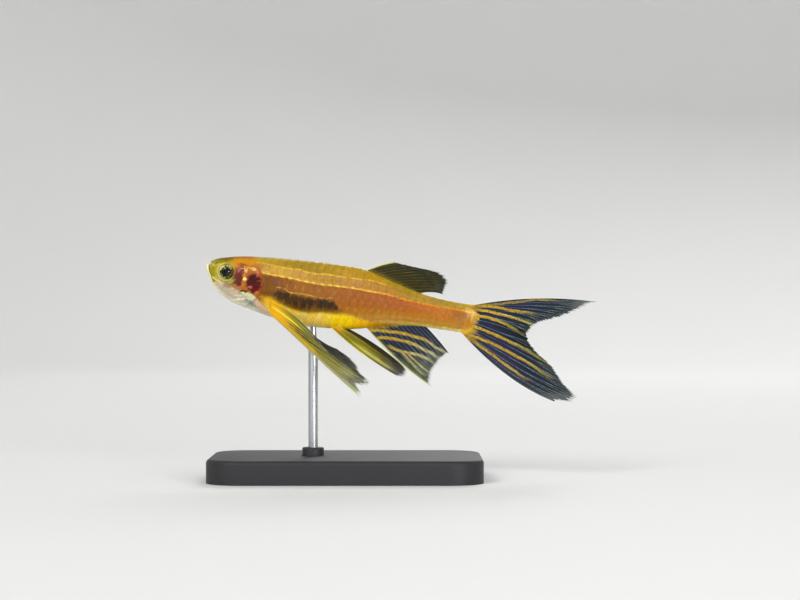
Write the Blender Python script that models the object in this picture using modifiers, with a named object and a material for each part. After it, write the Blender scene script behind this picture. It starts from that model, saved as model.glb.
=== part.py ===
"""A golden, long-finned zebra danio at life size, held on a plain display stand.

The fish is drawn along its own straight axis: u runs back from the chin, v is up and y is across, with the
fish's left side at -y. One empty then pitches it head up, as it swims, and lifts it over the stand.
Tables are in millimetres, and MM turns them into metres.
"""

import math

import bmesh
import bpy
import numpy as np

MM = 0.001

# Driving sizes of the fish
STANDARD_LENGTH = 40.0  # chin to tail base
TAIL_TIP = (57.4, 6.1)  # tip of the upper tail lobe
PITCH = math.radians(11.5)
CHIN_HEIGHT = 31.5  # of the chin above the ground
GAP = 0.3  # between neighbouring nodes
FAR = 12.0  # further out than any flank

# Outline stations of the body: (u, v)
BACK_LINE = (
    (0.0, 0.0), (0.2, 0.34), (0.5, 0.6), (1.4, 1.21), (3.1, 1.84), (7.4, 2.8), (13.5, 3.57), (19.7, 4.07),
    (22.8, 4.15), (26.3, 3.45), (31.0, 2.46), (36.3, 2.04), (40.0, 2.2),
)
BELLY_LINE = (
    (0.0, 0.0), (0.2, -0.5), (0.74, -1.43), (1.95, -2.98), (4.3, -4.34), (7.2, -5.03), (11.2, -5.68),
    (15.5, -6.02), (19.1, -5.62), (23.5, -4.91), (27.0, -3.85), (31.3, -2.8), (36.3, -2.42), (40.0, -2.25),
)
HALF_WIDTH = (
    (0.0, 0.0), (0.2, 0.5), (0.8, 1.0), (1.6, 1.4), (3.3, 1.9), (5.5, 2.2), (8.0, 2.45), (12.0, 2.6),
    (16.0, 2.5), (20.0, 2.2), (24.0, 1.8), (28.0, 1.4), (32.0, 1.05), (36.0, 0.78), (40.0, 0.55),
)
WIDEST_LEVEL = (
    (0.0, -0.05), (1.6, -0.5), (3.3, -0.6), (8.0, -1.2), (14.0, -1.3), (22.0, -0.7), (30.0, -0.2),
    (40.0, 0.0),
)
LEVEL_MARGIN = 0.35  # least share of the body's height above and below its widest level
BACK_ROUNDNESS, BELLY_ROUNDNESS = 0.86, 1.0  # powers of the section's sine: less is squarer
RINGS, RING_POINTS = 42, 34
RING_CROWDING = 1.6  # power that draws the rings together towards the snout

# Where the body is parted: side-view lines from the back down
GILL_EDGE = (
    (6.9, 4.5), (7.2, 2.2), (8.4, 0.6), (9.1, -0.9), (9.1, -2.2), (8.4, -3.6), (7.3, -4.7), (6.6, -6.5),
)
VENT_LINE = ((22.7, 6.0), (24.7, -6.5))
STALK_LINE = ((34.0, 5.0), (34.2, -5.0))
CHEEK_EDGE = ((6.5, 1.2), (5.7, 0.2), (5.4, -1.4), (5.7, -2.8), (6.6, -3.9))
BEFORE, BEYOND, ABOVE = -5.0, 48.0, 9.0  # clear of the snout, of the tail base and of the back and belly
GILL_COVERS = (("gill_cover_left", -1), ("gill_cover_right", 1))
COVER_THICKNESS = 0.6
COVER_LOW, COVER_HIGH = -3.9, 1.2  # heights between which the gill cover's edge runs free
COVER_BED_LENGTH = 1.0  # how far the cover's bed runs on behind its edge, to open at the gill slit
COVER_NEAR = 0.6  # least distance of the cover from the middle plane

# Head features
EYE_CENTRE = (3.36, -0.35)
EYE_RADIUS, EYE_DEPTH = 1.2, 0.95  # seen from the side, and half its thickness
EYE_BULGE = 0.32  # how far it stands out of the head
EYE_GAP = 0.2
MOUTH_LINE = ((-0.1, 0.75), (0.42, 0.22), (0.85, -0.45), (1.35, -1.35))
MOUTH_WIDTH = 0.16
LIP_RADIUS, LIP_CORNER_RADIUS = 0.19, 0.09
LIP_START, LIP_NEAREST = 0.3, 0.05  # where the lips begin along the snout, and their least distance across
NOSTRILS = ((1.55, 0.66), (1.95, 0.8))
NOSTRIL_RADIUS = 0.13
# Each barbel's root and tip as (u, v, y)
BARBELS = (((0.75, 0.45, 0.4), (1.7, 0.15, 1.55)), ((1.45, -1.45, 0.85), (3.4, -2.4, 2.0)))
BARBEL_RADIUS, BARBEL_TIP_RADIUS, BARBEL_ARCH = 0.2, 0.06, 0.3

# Fins: key rays from the leading edge back, each as its points (u, v) at the root, half way along and the tip
DORSAL_KEYS = (
    ((23.3, 3.8), (25.1, 5.1), (27.1, 6.05)), ((24.3, 3.6), (27.0, 4.95), (30.6, 5.88)),
    ((25.3, 3.3), (29.2, 4.6), (34.0, 5.85)), ((26.6, 2.9), (30.8, 4.1), (35.6, 4.95)),
    ((28.2, 2.5), (31.8, 3.5), (35.5, 4.0)), ((30.4, 2.1), (32.6, 2.9), (35.0, 3.0)),
)
ANAL_KEYS = (
    ((24.9, -4.1), (30.3, -7.95), (36.25, -10.9)), ((26.8, -3.5), (31.2, -6.7), (36.0, -9.6)),
    ((28.8, -2.9), (32.4, -5.4), (36.2, -8.1)), ((31.0, -2.4), (34.0, -4.5), (36.9, -6.7)),
    ((33.2, -2.1), (35.6, -3.8), (37.75, -5.6)),
)
TAIL_UPPER_KEYS = (
    ((38.9, 1.7), (48.5, 4.85), (57.4, 6.08)), ((39.0, 1.6), (48.0, 4.0), (55.8, 5.0)),
    ((39.1, 1.45), (47.0, 2.85), (53.1, 3.0)), ((39.2, 1.2), (45.0, 1.8), (49.7, 1.3)),
    ((39.3, 0.3), (44.2, -0.02), (48.5, -0.75)),
)
TAIL_LOWER_KEYS = (
    ((38.6, -2.0), (46.6, -6.95), (54.4, -9.5)), ((38.8, -1.85), (47.5, -6.4), (57.2, -9.0)),
    ((39.0, -1.7), (48.2, -5.5), (57.6, -8.0)), ((39.1, -1.4), (48.2, -4.1), (55.6, -6.9)),
    ((39.2, -0.9), (47.0, -2.7), (53.4, -4.8)), ((39.3, -0.5), (45.6, -1.8), (50.6, -2.95)),
    ((39.3, -0.1), (44.2, -0.38), (48.6, -1.35)),
)
PELVIC_KEYS = (
    ((19.4, -4.9), (24.8, -7.95), (31.0, -10.3)), ((19.8, -4.85), (25.1, -7.7), (31.7, -10.4)),
    ((20.1, -4.8), (25.4, -7.4), (32.25, -10.15)), ((20.5, -4.75), (25.6, -7.05), (32.2, -9.7)),
    ((20.8, -4.7), (25.8, -6.7), (31.3, -9.2)),
)
FAR_PELVIC_KEYS = (
    ((19.6, -4.85), (25.0, -7.6), (31.8, -10.2)), ((20.4, -4.7), (26.0, -6.9), (32.5, -9.8)),
    ((21.1, -4.6), (26.3, -6.3), (31.7, -8.9)),
)
PECTORAL_KEYS = (
    ((10.4, -4.75), (18.6, -9.75), (26.4, -14.3)), ((10.3, -4.55), (18.5, -9.4), (26.7, -13.8)),
    ((10.2, -4.35), (18.4, -9.05), (25.9, -12.75)), ((9.9, -4.05), (18.2, -8.5), (27.9, -12.4)),
    ((9.8, -3.7), (17.7, -7.8), (26.6, -11.3)), ((9.7, -3.4), (16.6, -6.65), (22.5, -10.0)),
    ((9.7, -3.1), (14.8, -4.6), (18.3, -7.4)),
)
FAR_PECTORAL_KEYS = (
    ((9.9, -4.5), (18.3, -9.2), (25.4, -12.9)), ((9.9, -4.2), (18.1, -8.6), (26.0, -12.1)),
    ((9.8, -3.9), (17.8, -8.0), (25.6, -11.2)), ((9.8, -3.6), (17.4, -7.4), (24.3, -9.7)),
    ((9.7, -3.2), (16.6, -6.8), (21.4, -8.45)),
)
DORSAL_RAYS, ANAL_RAYS, PELVIC_RAYS, PECTORAL_RAYS = 9, 14, 7, 9
TAIL_UPPER_RAYS, TAIL_LOWER_RAYS = 9, 10
SHORT_FIN_ROWS, PELVIC_ROWS, LONG_FIN_ROWS = 9, 10, 13  # points along a ray
DORSAL_SWAY, ANAL_SWAY = (0.5,), (-0.7,)  # arguments of median_sway
TAIL_UPPER_SWAY, TAIL_LOWER_SWAY = (-1.2, 0.3), (1.3, 0.4)
PELVIC_SPLAYS = ((-1, 0.5, 2.6, 0.5), (1, 0.5, 3.2, 0.5))  # arguments of paired_splay, left and right
PECTORAL_SPLAYS = ((-1, 0.8, 6.0, 0.9), (1, 0.8, 6.4, 0.9))
RAY_THICKNESS = 0.85  # at the root of a ray
MEMBRANE_SHARE = 0.6  # of the ray's thickness beside it
TIP_SHARE = 0.5  # of the thickness that is left at the margin
RAY_HALF_WIDTH = 0.2  # of the spacing between rays
FLESHY_ROOT = 0.15  # share of the fin's length over which the ridges rise from its thick root
SCALLOP = 0.025  # how far the membrane ends short of the ray tips

# Stand
BASE_LENGTH, BASE_WIDTH, BASE_THICKNESS = 40.0, 24.0, 3.5
BASE_CORNER, BASE_EDGE = 5.0, 0.6
BASE_SHIFT = -8.0  # towards the head, under the fish's weight
ROD_RADIUS = 0.7
ROD_U = 17.4  # where the rod meets the belly
BOSS_RADIUS, BOSS_HEIGHT = 1.6, 1.2
OVERRUN = 1.0  # how far the boss and the rod are drawn into what they are joined to or cut by

GOLD = (0.80, 0.48, 0.08)
COPPER = (0.55, 0.22, 0.14)
FIN_YELLOW = (0.72, 0.62, 0.16)
EYE_DARK = (0.03, 0.025, 0.02)
STAND_DARK = (0.03, 0.03, 0.032)
ROD_STEEL = (0.55, 0.56, 0.58)


def curve_through(points, x):
    """The smooth curve through points, read at x. Its slope at each point is that between the neighbours."""
    xs, ys = np.array(points, float).T
    slopes = np.gradient(ys, xs)
    i = np.clip(np.searchsorted(xs, x) - 1, 0, len(xs) - 2)
    span = xs[i + 1] - xs[i]
    t = (np.asarray(x, float) - xs[i]) / span
    blend = t * t * (3 - 2 * t)
    bend = t * (1 - t)
    return ys[i] * (1 - blend) + ys[i + 1] * blend + span * bend * ((1 - t) * slopes[i] - t * slopes[i + 1])


def clear_scene():
    for obj in list(bpy.data.objects):
        bpy.data.objects.remove(obj)


def new_collection(name):
    collection = bpy.data.collections.new(name)
    bpy.context.scene.collection.children.link(collection)
    return collection


def material(name, colour, roughness, metallic=0.0):
    made = bpy.data.materials.new(name)
    made.use_nodes = True
    shader = made.node_tree.nodes["Principled BSDF"]
    shader.inputs["Base Color"].default_value = (*colour, 1.0)
    shader.inputs["Roughness"].default_value = roughness
    shader.inputs["Metallic"].default_value = metallic
    return made


def object_from(bm, name, collection):
    bmesh.ops.recalc_face_normals(bm, faces=bm.faces)
    mesh = bpy.data.meshes.new(name)
    bm.to_mesh(mesh)
    bm.free()
    obj = bpy.data.objects.new(name, mesh)
    collection.objects.link(obj)
    return obj


def section_point(u, angle):
    """(y, v) of the body's surface at u, with angle 0 on the back and pi on the belly."""
    top, bottom = curve_through(BACK_LINE, u), curve_through(BELLY_LINE, u)
    level = curve_through(WIDEST_LEVEL, u)
    margin = LEVEL_MARGIN * (top - bottom)
    level = min(max(level, bottom + margin), top - margin)
    reach = top - level if math.cos(angle) > 0 else level - bottom
    power = BACK_ROUNDNESS if math.cos(angle) > 0 else BELLY_ROUNDNESS
    sine = math.sin(angle)
    across = math.copysign(abs(sine) ** power, sine) * curve_through(HALF_WIDTH, u)
    return across, level + reach * math.cos(angle)


def body_loft(name, grow=0.0):
    """The whole body as one closed loft, with its surface moved out by grow."""
    bm = bmesh.new()
    rings = []
    for i in range(1, RINGS + 1):
        u = STANDARD_LENGTH * (i / RINGS) ** RING_CROWDING
        ring = []
        for j in range(RING_POINTS):
            y, v = section_point(u, 2 * math.pi * j / RING_POINTS)
            ring.append(bm.verts.new((u * MM, y * MM, v * MM)))
        rings.append(ring)
    for front, back in zip(rings, rings[1:]):
        for j in range(RING_POINTS):
            k = (j + 1) % RING_POINTS
            bm.faces.new((front[j], front[k], back[k], back[j]))
    for ring, end in ((rings[0], 0.0), (rings[-1], STANDARD_LENGTH)):
        middle = np.mean([v.co for v in ring], axis=0)
        pole = bm.verts.new((end * MM, 0.0, middle[2]))
        for j in range(RING_POINTS):
            bm.faces.new((ring[j], ring[(j + 1) % RING_POINTS], pole))
    bmesh.ops.recalc_face_normals(bm, faces=bm.faces)
    bm.normal_update()
    for vert, normal in [(v, v.normal.copy()) for v in bm.verts]:
        room = float(curve_through(HALF_WIDTH, min(max(vert.co.x / MM, 0.0), STANDARD_LENGTH))) / 2
        vert.co += normal * (max(grow, -room) * MM)
    return object_from(bm, name, cutters)


def side_block(name, outline, near=-FAR, far=FAR):
    """A block with this outline (u, v) in the side view, from near to far across."""
    flat = bpy.data.curves.new(name, "CURVE")
    flat.dimensions = "2D"
    flat.fill_mode = "BOTH"
    flat.extrude = (far - near) / 2 * MM
    spline = flat.splines.new("POLY")
    spline.use_cyclic_u = True
    spline.points.add(len(outline) - 1)
    for point, (u, v) in zip(spline.points, outline):
        point.co = (u * MM, v * MM, 0.0, 1.0)
    curve = bpy.data.objects.new(name + "_outline", flat)
    curve.rotation_euler = (math.pi / 2, 0.0, 0.0)
    curve.location = (0.0, (near + far) / 2 * MM, 0.0)
    cutters.objects.link(curve)
    return as_mesh(curve, name, cutters)


def as_mesh(curve, name, collection):
    """The curve's own shape as a welded mesh object, in place of the curve."""
    bpy.context.view_layer.update()
    graph = bpy.context.evaluated_depsgraph_get()
    mesh = bpy.data.meshes.new_from_object(curve.evaluated_get(graph))
    made = bpy.data.objects.new(name, mesh)
    made.matrix_world = curve.matrix_world.copy()
    collection.objects.link(made)
    bpy.data.objects.remove(curve)
    bm = bmesh.new()
    bm.from_mesh(mesh)
    bmesh.ops.remove_doubles(bm, verts=bm.verts, dist=1e-6)
    bmesh.ops.triangulate(bm, faces=bm.faces)
    bmesh.ops.recalc_face_normals(bm, faces=bm.faces)
    bm.to_mesh(mesh)
    bm.free()
    return made


def applied(obj):
    """Replaces the object's mesh by what its modifiers make of it."""
    bpy.context.view_layer.update()
    graph = bpy.context.evaluated_depsgraph_get()
    mesh = bpy.data.meshes.new_from_object(obj.evaluated_get(graph))
    obj.modifiers.clear()
    obj.data = mesh
    return obj


def combined(obj, other, operation, solver="EXACT"):
    boolean = obj.modifiers.new(operation.lower(), "BOOLEAN")
    boolean.operation = operation
    boolean.solver = solver
    boolean.object = other
    return applied(obj)


def copied(obj, name, collection):
    made = bpy.data.objects.new(name, obj.data.copy())
    made.matrix_world = obj.matrix_world.copy()
    collection.objects.link(made)
    return made


def keep_largest(obj):
    """Drops loose scraps and sealed hollows: only the surface with the most faces stays."""
    bm = bmesh.new()
    bm.from_mesh(obj.data)
    seen, shells = set(), []
    for start in bm.faces:
        if start in seen:
            continue
        shell, front = [], [start]
        seen.add(start)
        while front:
            face = front.pop()
            shell.append(face)
            for other in (f for edge in face.edges for f in edge.link_faces):
                if other not in seen:
                    seen.add(other)
                    front.append(other)
        shells.append(shell)
    shells.sort(key=len)
    scraps = [face for shell in shells[:-1] for face in shell]
    bmesh.ops.delete(bm, geom=scraps, context="FACES")
    bmesh.ops.delete(bm, geom=[v for v in bm.verts if not v.link_faces], context="VERTS")
    bm.to_mesh(obj.data)
    bm.free()
    return obj


def finish_node(obj, look, parent=None):
    """Moves the node into the model, gives it its material and shades it smooth."""
    for collection in list(obj.users_collection):
        collection.objects.unlink(obj)
    model.objects.link(obj)
    obj.data.materials.clear()
    obj.data.materials.append(look)
    obj.data.shade_smooth()
    obj.data.set_sharp_from_angle(angle=math.radians(40))
    obj.parent = parent
    return obj


def shifted(line, by):
    return [(u + by, v) for u, v in line]


def smooth_line(points, steps=4):
    """Side-view points from a smooth curve through these, read with the height as the running value."""
    us, vs = zip(*points)
    run = list(range(len(points)))
    reads = np.linspace(0, len(points) - 1, steps * (len(points) - 1) + 1)
    read = [curve_through(list(zip(run, values)), reads) for values in (us, vs)]
    return [(float(u), float(v)) for u, v in zip(*read)]


def body_nodes(body):
    """Head, gill covers, trunk, tail and tail stalk: the loft parted along the side-view lines."""
    gill, vent, stalk = smooth_line(GILL_EDGE), list(VENT_LINE), list(STALK_LINE)
    spans = {
        "head": [(BEFORE, ABOVE), *shifted(gill, -GAP / 2), (BEFORE, -ABOVE)],
        "trunk": [*shifted(gill, GAP / 2), *shifted(vent, -GAP / 2)[::-1]],
        "tail": [*shifted(vent, GAP / 2), *shifted(stalk, -GAP / 2)[::-1]],
        "tail_stalk": [*shifted(stalk, GAP / 2), (BEYOND, -ABOVE), (BEYOND, ABOVE)],
    }
    return {name: combined(copied(body, name, cutters), side_block(name + "_span", outline), "INTERSECT")
            for name, outline in spans.items()}


def gill_cover(name, side, body, head):
    """A curved plate over the gills, lying in a shallow bed cut into the head."""
    gill = [p for p in smooth_line(GILL_EDGE) if COVER_LOW < p[1] < COVER_HIGH]
    cheek = smooth_line(CHEEK_EDGE)
    near, far = sorted((side * COVER_NEAR, side * FAR))
    bed = side_block(name + "_bed", [*shifted(gill, COVER_BED_LENGTH), *cheek[::-1]], near, far)
    combined(bed, body_loft(name + "_core", -COVER_THICKNESS - GAP), "DIFFERENCE")
    plate = side_block(name, [*shifted(gill, -GAP / 2), *shifted(cheek, GAP)[::-1]], near, far)
    combined(plate, body_loft(name + "_under", -COVER_THICKNESS), "DIFFERENCE")
    combined(plate, body, "INTERSECT")
    combined(head, bed, "DIFFERENCE")
    return keep_largest(plate)


def ellipsoid(name, centre, radii, segments=20, rings=12):
    bm = bmesh.new()
    bmesh.ops.create_uvsphere(bm, u_segments=segments, v_segments=rings, radius=MM)
    for vert in bm.verts:
        x, y, z = vert.co
        vert.co = (x * radii[0], z * radii[1], y * radii[2])
    bmesh.ops.translate(bm, verts=bm.verts, vec=[c * MM for c in centre])
    return object_from(bm, name, cutters)


def add_eyes(head):
    """A flattened ball in each socket. Its outer face stands a little proud of the head."""
    u, v = EYE_CENTRE
    y = float(curve_through(HALF_WIDTH, u)) + EYE_BULGE - EYE_DEPTH
    eyes = []
    for name, side in (("eye_left", -1), ("eye_right", 1)):
        radii = (EYE_RADIUS, EYE_DEPTH, EYE_RADIUS)
        socket = ellipsoid(name + "_socket", (u, side * y, v), [r + EYE_GAP for r in radii])
        combined(head, socket, "DIFFERENCE")
        eyes.append(ellipsoid(name, (u, side * y, v), radii))
    return eyes


def tube(name, points, radii, collection):
    """A round, capped tube through these points (u, v, y) as a closed mesh."""
    flat = bpy.data.curves.new(name, "CURVE")
    flat.dimensions = "3D"
    flat.bevel_depth = MM
    flat.bevel_resolution = 1
    flat.use_fill_caps = True
    spline = flat.splines.new("POLY")
    spline.points.add(len(points) - 1)
    for place, (u, v, y), radius in zip(spline.points, points, radii):
        place.co = (u * MM, y * MM, v * MM, 1.0)
        place.radius = radius
    curve = bpy.data.objects.new(name, flat)
    collection.objects.link(curve)
    return as_mesh(curve, name + "_tube", collection)


def fused(obj, pieces):
    """Joins every mesh of a collection to the object, which stays one closed body."""
    join = obj.modifiers.new("join", "BOOLEAN")
    join.operation = "UNION"
    join.operand_type = "COLLECTION"
    join.collection = pieces
    applied(obj)
    for piece in list(pieces.objects):
        bpy.data.objects.remove(piece)


def add_lips(head):
    """Two rolls round the front of the snout, one along each side of the mouth's line."""
    pieces = new_collection("lips")
    line = [(u, v) for u, v in smooth_line(MOUTH_LINE, 3) if u > LIP_START]
    rise = (MOUTH_WIDTH + LIP_RADIUS) / 2
    for name, side in (("upper_lip", 1), ("lower_lip", -1)):
        flank = []
        for u, v in line:
            y = surface_y(u, v + side * rise) - LIP_RADIUS / 2
            flank.append((u, v + side * rise, max(y, LIP_NEAREST)))
        left = [(u, v, -y) for u, v, y in flank[::-1]]
        run = [*left, *flank]
        half = len(run) / 2
        radii = []
        for i in range(len(run)):
            from_front = abs(i + 0.5 - half) / half
            radii.append(LIP_RADIUS + (LIP_CORNER_RADIUS - LIP_RADIUS) * from_front)
        tube(name, run, radii, pieces)
    fused(head, pieces)


def cut_mouth(head):
    """A narrow slot right across the snout, along the oblique line of the mouth."""
    line = smooth_line(MOUTH_LINE, 3)
    half = MOUTH_WIDTH / 2
    upper, lower = [(u, v + half) for u, v in line], [(u - half / 2, v - half) for u, v in line]
    combined(head, side_block("mouth", [*upper, *lower[::-1]]), "DIFFERENCE")


def cut_nostrils(head):
    for side in (-1, 1):
        for n, (u, v) in enumerate(NOSTRILS):
            y = surface_y(u, v) * side
            pit = ellipsoid(f"nostril_{side}_{n}", (u, y, v), (NOSTRIL_RADIUS,) * 3, 10, 6)
            combined(head, pit, "DIFFERENCE")


def surface_y(u, v):
    """How far the flank lies from the middle at this place in the side view."""
    angles = np.linspace(0, math.pi, 200)
    points = [section_point(u, a) for a in angles]
    return min(points, key=lambda p: abs(p[1] - v))[0]


def add_barbels(head):
    """Two short feelers on each side of the mouth, tapered and fused to the head."""
    pieces = new_collection("barbels")
    for side in (-1, 1):
        for n, (root, tip) in enumerate(BARBELS):
            points, radii = [], []
            for t in np.linspace(0, 1, 5):
                u, v, y = np.array(root) + (np.array(tip) - np.array(root)) * t
                points.append((u, v + BARBEL_ARCH * t * (1 - t), side * y))
                radii.append(BARBEL_RADIUS + (BARBEL_TIP_RADIUS - BARBEL_RADIUS) * t)
            tube(f"barbel_{side}_{n}", points, radii, pieces)
    fused(head, pieces)


def ray_point(keys, s, t, lateral):
    """A point of the fin: s runs across the key rays, t along them; lateral(s, t) is its place across, y."""
    where = s * (len(keys) - 1)
    index = list(range(len(keys)))
    read = []
    for k in range(3):
        read.append([float(curve_through([(i, keys[i][k][axis]) for i in index], where)) for axis in (0, 1)])
    root, half, tip = (np.array(p) for p in read)
    pull = 2 * half - (root + tip) / 2
    u, v = root * (1 - t) ** 2 + 2 * t * (1 - t) * pull + tip * t * t
    return u * MM, lateral(s, t) * MM, v * MM


def fin_columns(rays):
    """(place across the fin, 1 on a ray's crest or 0 beside it) for every column of the fin's grid."""
    spacing = 1.0 / (rays - 1)
    columns = []
    for i in range(rays):
        for foot, crest in ((-1, 0), (0, 1), (1, 0)):
            s = (i + foot * RAY_HALF_WIDTH) * spacing
            if 0 <= s <= 1:
                columns.append((s, crest))
    return columns


def fin(name, keys, rays, rows, lateral, cutter):
    """A fin as one membrane whose rays are ridges in its own surface, cut to meet the body."""
    bm = bmesh.new()
    shares = []
    grid = []
    for s, crest in fin_columns(rays):
        column = []
        for k in range(rows):
            t = k / (rows - 1)
            reach = t if crest else t * (1 - SCALLOP)
            column.append(bm.verts.new(ray_point(keys, s, reach, lateral)))
            beside = 1.0 - (1.0 - MEMBRANE_SHARE) * min(t / FLESHY_ROOT, 1.0)
            shares.append((1.0 if crest else beside) * (1 - (1 - TIP_SHARE) * t))
        grid.append(column)
    for left, right in zip(grid, grid[1:]):
        for k in range(rows - 1):
            bm.faces.new((left[k], right[k], right[k + 1]))
            bm.faces.new((left[k], right[k + 1], left[k + 1]))
    made = object_from(bm, name, cutters)
    group = made.vertex_groups.new(name="thickness")
    for index, share in enumerate(shares):
        group.add([index], share, "REPLACE")
    shell = made.modifiers.new("thickness", "SOLIDIFY")
    shell.thickness = RAY_THICKNESS * MM
    shell.offset = 0.0
    shell.vertex_group = group.name
    applied(made)
    combined(made, cutter, "DIFFERENCE", "MANIFOLD")
    return keep_largest(made)


def median_sway(amount, turns=0.5):
    """A fin in the middle plane that sways gently towards its margin."""
    return lambda s, t: amount * t * t * math.sin(math.pi * (turns * t + s))


def paired_splay(side, root, tip, lean):
    """A paired fin that leaves the flank steeply at root and bends back towards tip. lean turns its blade."""

    def lateral(s, t):
        turned = lean * (s - 0.5) * math.sin(math.pi * (0.1 + 0.9 * t))
        return side * (root + (tip - root) * t * (2 - t) + turned)

    return lateral


def add_fins(cutter):
    fins = {
        "dorsal_fin": (DORSAL_KEYS, DORSAL_RAYS, SHORT_FIN_ROWS, median_sway(*DORSAL_SWAY)),
        "anal_fin": (ANAL_KEYS, ANAL_RAYS, SHORT_FIN_ROWS, median_sway(*ANAL_SWAY)),
        "tail_fin_upper": (TAIL_UPPER_KEYS, TAIL_UPPER_RAYS, LONG_FIN_ROWS, median_sway(*TAIL_UPPER_SWAY)),
        "tail_fin_lower": (TAIL_LOWER_KEYS, TAIL_LOWER_RAYS, LONG_FIN_ROWS, median_sway(*TAIL_LOWER_SWAY)),
        "pelvic_fin_left": (PELVIC_KEYS, PELVIC_RAYS, PELVIC_ROWS, paired_splay(*PELVIC_SPLAYS[0])),
        "pelvic_fin_right": (FAR_PELVIC_KEYS, PELVIC_RAYS, PELVIC_ROWS, paired_splay(*PELVIC_SPLAYS[1])),
        "pectoral_fin_left": (PECTORAL_KEYS, PECTORAL_RAYS, LONG_FIN_ROWS, paired_splay(*PECTORAL_SPLAYS[0])),
        "pectoral_fin_right": (
            FAR_PECTORAL_KEYS, PECTORAL_RAYS, LONG_FIN_ROWS, paired_splay(*PECTORAL_SPLAYS[1]),
        ),
    }
    return [fin(name, *shape, cutter) for name, shape in fins.items()]


def to_world(u, v):
    """(x, z) in millimetres over the ground of a point in the fish's own side view."""
    x = u * math.cos(PITCH) + v * math.sin(PITCH)
    z = v * math.cos(PITCH) - u * math.sin(PITCH)
    return x - (TAIL_TIP[0] * math.cos(PITCH) + TAIL_TIP[1] * math.sin(PITCH)) / 2, z + CHIN_HEIGHT


def cylinder(name, radius, low, high, x, segments):
    bm = bmesh.new()
    bmesh.ops.create_cone(bm, cap_ends=True, segments=segments, radius1=radius * MM, radius2=radius * MM,
                          depth=(high - low) * MM)
    bmesh.ops.translate(bm, verts=bm.verts, vec=(x * MM, 0.0, (low + high) / 2 * MM))
    return object_from(bm, name, cutters)


def add_stand(belly):
    """A rounded slab with a small boss, and one rod from the boss up to the belly."""
    bm = bmesh.new()
    bmesh.ops.create_cube(bm, size=MM)
    bmesh.ops.scale(bm, verts=bm.verts, vec=(BASE_LENGTH, BASE_WIDTH, BASE_THICKNESS))
    bmesh.ops.translate(bm, verts=bm.verts, vec=(BASE_SHIFT * MM, 0.0, BASE_THICKNESS / 2 * MM))
    uprights = [e for e in bm.edges if abs(e.verts[0].co.z - e.verts[1].co.z) > MM]
    bmesh.ops.bevel(bm, geom=uprights, offset=BASE_CORNER * MM, segments=6, affect="EDGES", profile=0.5)
    top = [e for e in bm.edges if min(v.co.z for v in e.verts) > (BASE_THICKNESS - 0.01) * MM]
    bmesh.ops.bevel(bm, geom=top, offset=BASE_EDGE * MM, segments=2, affect="EDGES", profile=0.5)
    base = object_from(bm, "stand_base", cutters)
    x, belly_z = to_world(ROD_U, float(curve_through(BELLY_LINE, ROD_U)))
    boss = cylinder("boss", BOSS_RADIUS, BASE_THICKNESS - OVERRUN, BASE_THICKNESS + BOSS_HEIGHT, x, 24)
    combined(base, boss, "UNION")
    rod = cylinder("stand_rod", ROD_RADIUS, BASE_THICKNESS + BOSS_HEIGHT + GAP, belly_z + 2 * OVERRUN, x, 16)
    combined(rod, belly, "DIFFERENCE")
    return base, keep_largest(rod)


clear_scene()
model = new_collection("zebra_danio")
cutters = new_collection("cutters")
cutters.hide_render = True

body = body_loft("body")
clearance = body_loft("clearance", GAP)
nodes = body_nodes(body)
covers = [gill_cover(name, side, body, nodes["head"]) for name, side in GILL_COVERS]
eyes = add_eyes(nodes["head"])
add_lips(nodes["head"])
cut_mouth(nodes["head"])
cut_nostrils(nodes["head"])
add_barbels(nodes["head"])
keep_largest(nodes["head"])
fins = add_fins(clearance)

pose = bpy.data.objects.new("fish_pose", None)
model.objects.link(pose)
pose.rotation_euler = (0.0, PITCH, 0.0)
pose.location = (to_world(0.0, 0.0)[0] * MM, 0.0, CHIN_HEIGHT * MM)
bpy.context.view_layer.update()

clearance.matrix_world = pose.matrix_world.copy()
stand_base, stand_rod = add_stand(clearance)

flesh = material("flesh", GOLD, 0.35)
cover_look = material("gill_cover", COPPER, 0.3)
membrane = material("fin", FIN_YELLOW, 0.3)
eye_look = material("eye", EYE_DARK, 0.1)
stand_look = material("stand", STAND_DARK, 0.4)
rod_look = material("rod", ROD_STEEL, 0.3, 1.0)
for node in nodes.values():
    finish_node(node, flesh, pose)
for cover in covers:
    finish_node(cover, cover_look, pose)
for eye in eyes:
    finish_node(eye, eye_look, pose)
for made in fins:
    finish_node(made, membrane, pose)
finish_node(stand_base, stand_look)
finish_node(stand_rod, rod_look)
for helper in list(cutters.objects):
    bpy.data.objects.remove(helper)
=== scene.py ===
"""The looks of a golden, long-finned zebra danio on its display stand.

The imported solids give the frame. One fine skin stands for the flesh, scales lie over it, and each fin is a
thin ribbed membrane. Places are laid out in the fish's own side view, in millimetres, as its solids are: u
back from the chin, v up and y across, with the fish's left side at -y.
"""

import math

import bmesh
import bpy
import numpy as np
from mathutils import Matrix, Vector


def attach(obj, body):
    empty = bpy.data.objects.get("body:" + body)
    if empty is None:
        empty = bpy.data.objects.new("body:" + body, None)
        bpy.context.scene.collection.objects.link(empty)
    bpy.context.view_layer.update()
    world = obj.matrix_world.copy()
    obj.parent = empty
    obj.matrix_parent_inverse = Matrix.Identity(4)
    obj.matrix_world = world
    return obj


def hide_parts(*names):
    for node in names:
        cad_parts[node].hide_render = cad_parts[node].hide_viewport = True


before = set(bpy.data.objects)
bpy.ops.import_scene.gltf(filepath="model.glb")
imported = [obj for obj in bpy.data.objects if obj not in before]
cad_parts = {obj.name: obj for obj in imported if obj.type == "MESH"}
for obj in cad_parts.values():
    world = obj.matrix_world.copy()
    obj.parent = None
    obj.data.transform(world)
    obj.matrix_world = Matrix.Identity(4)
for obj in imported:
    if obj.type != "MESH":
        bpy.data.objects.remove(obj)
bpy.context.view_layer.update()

MM = 0.001

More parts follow.
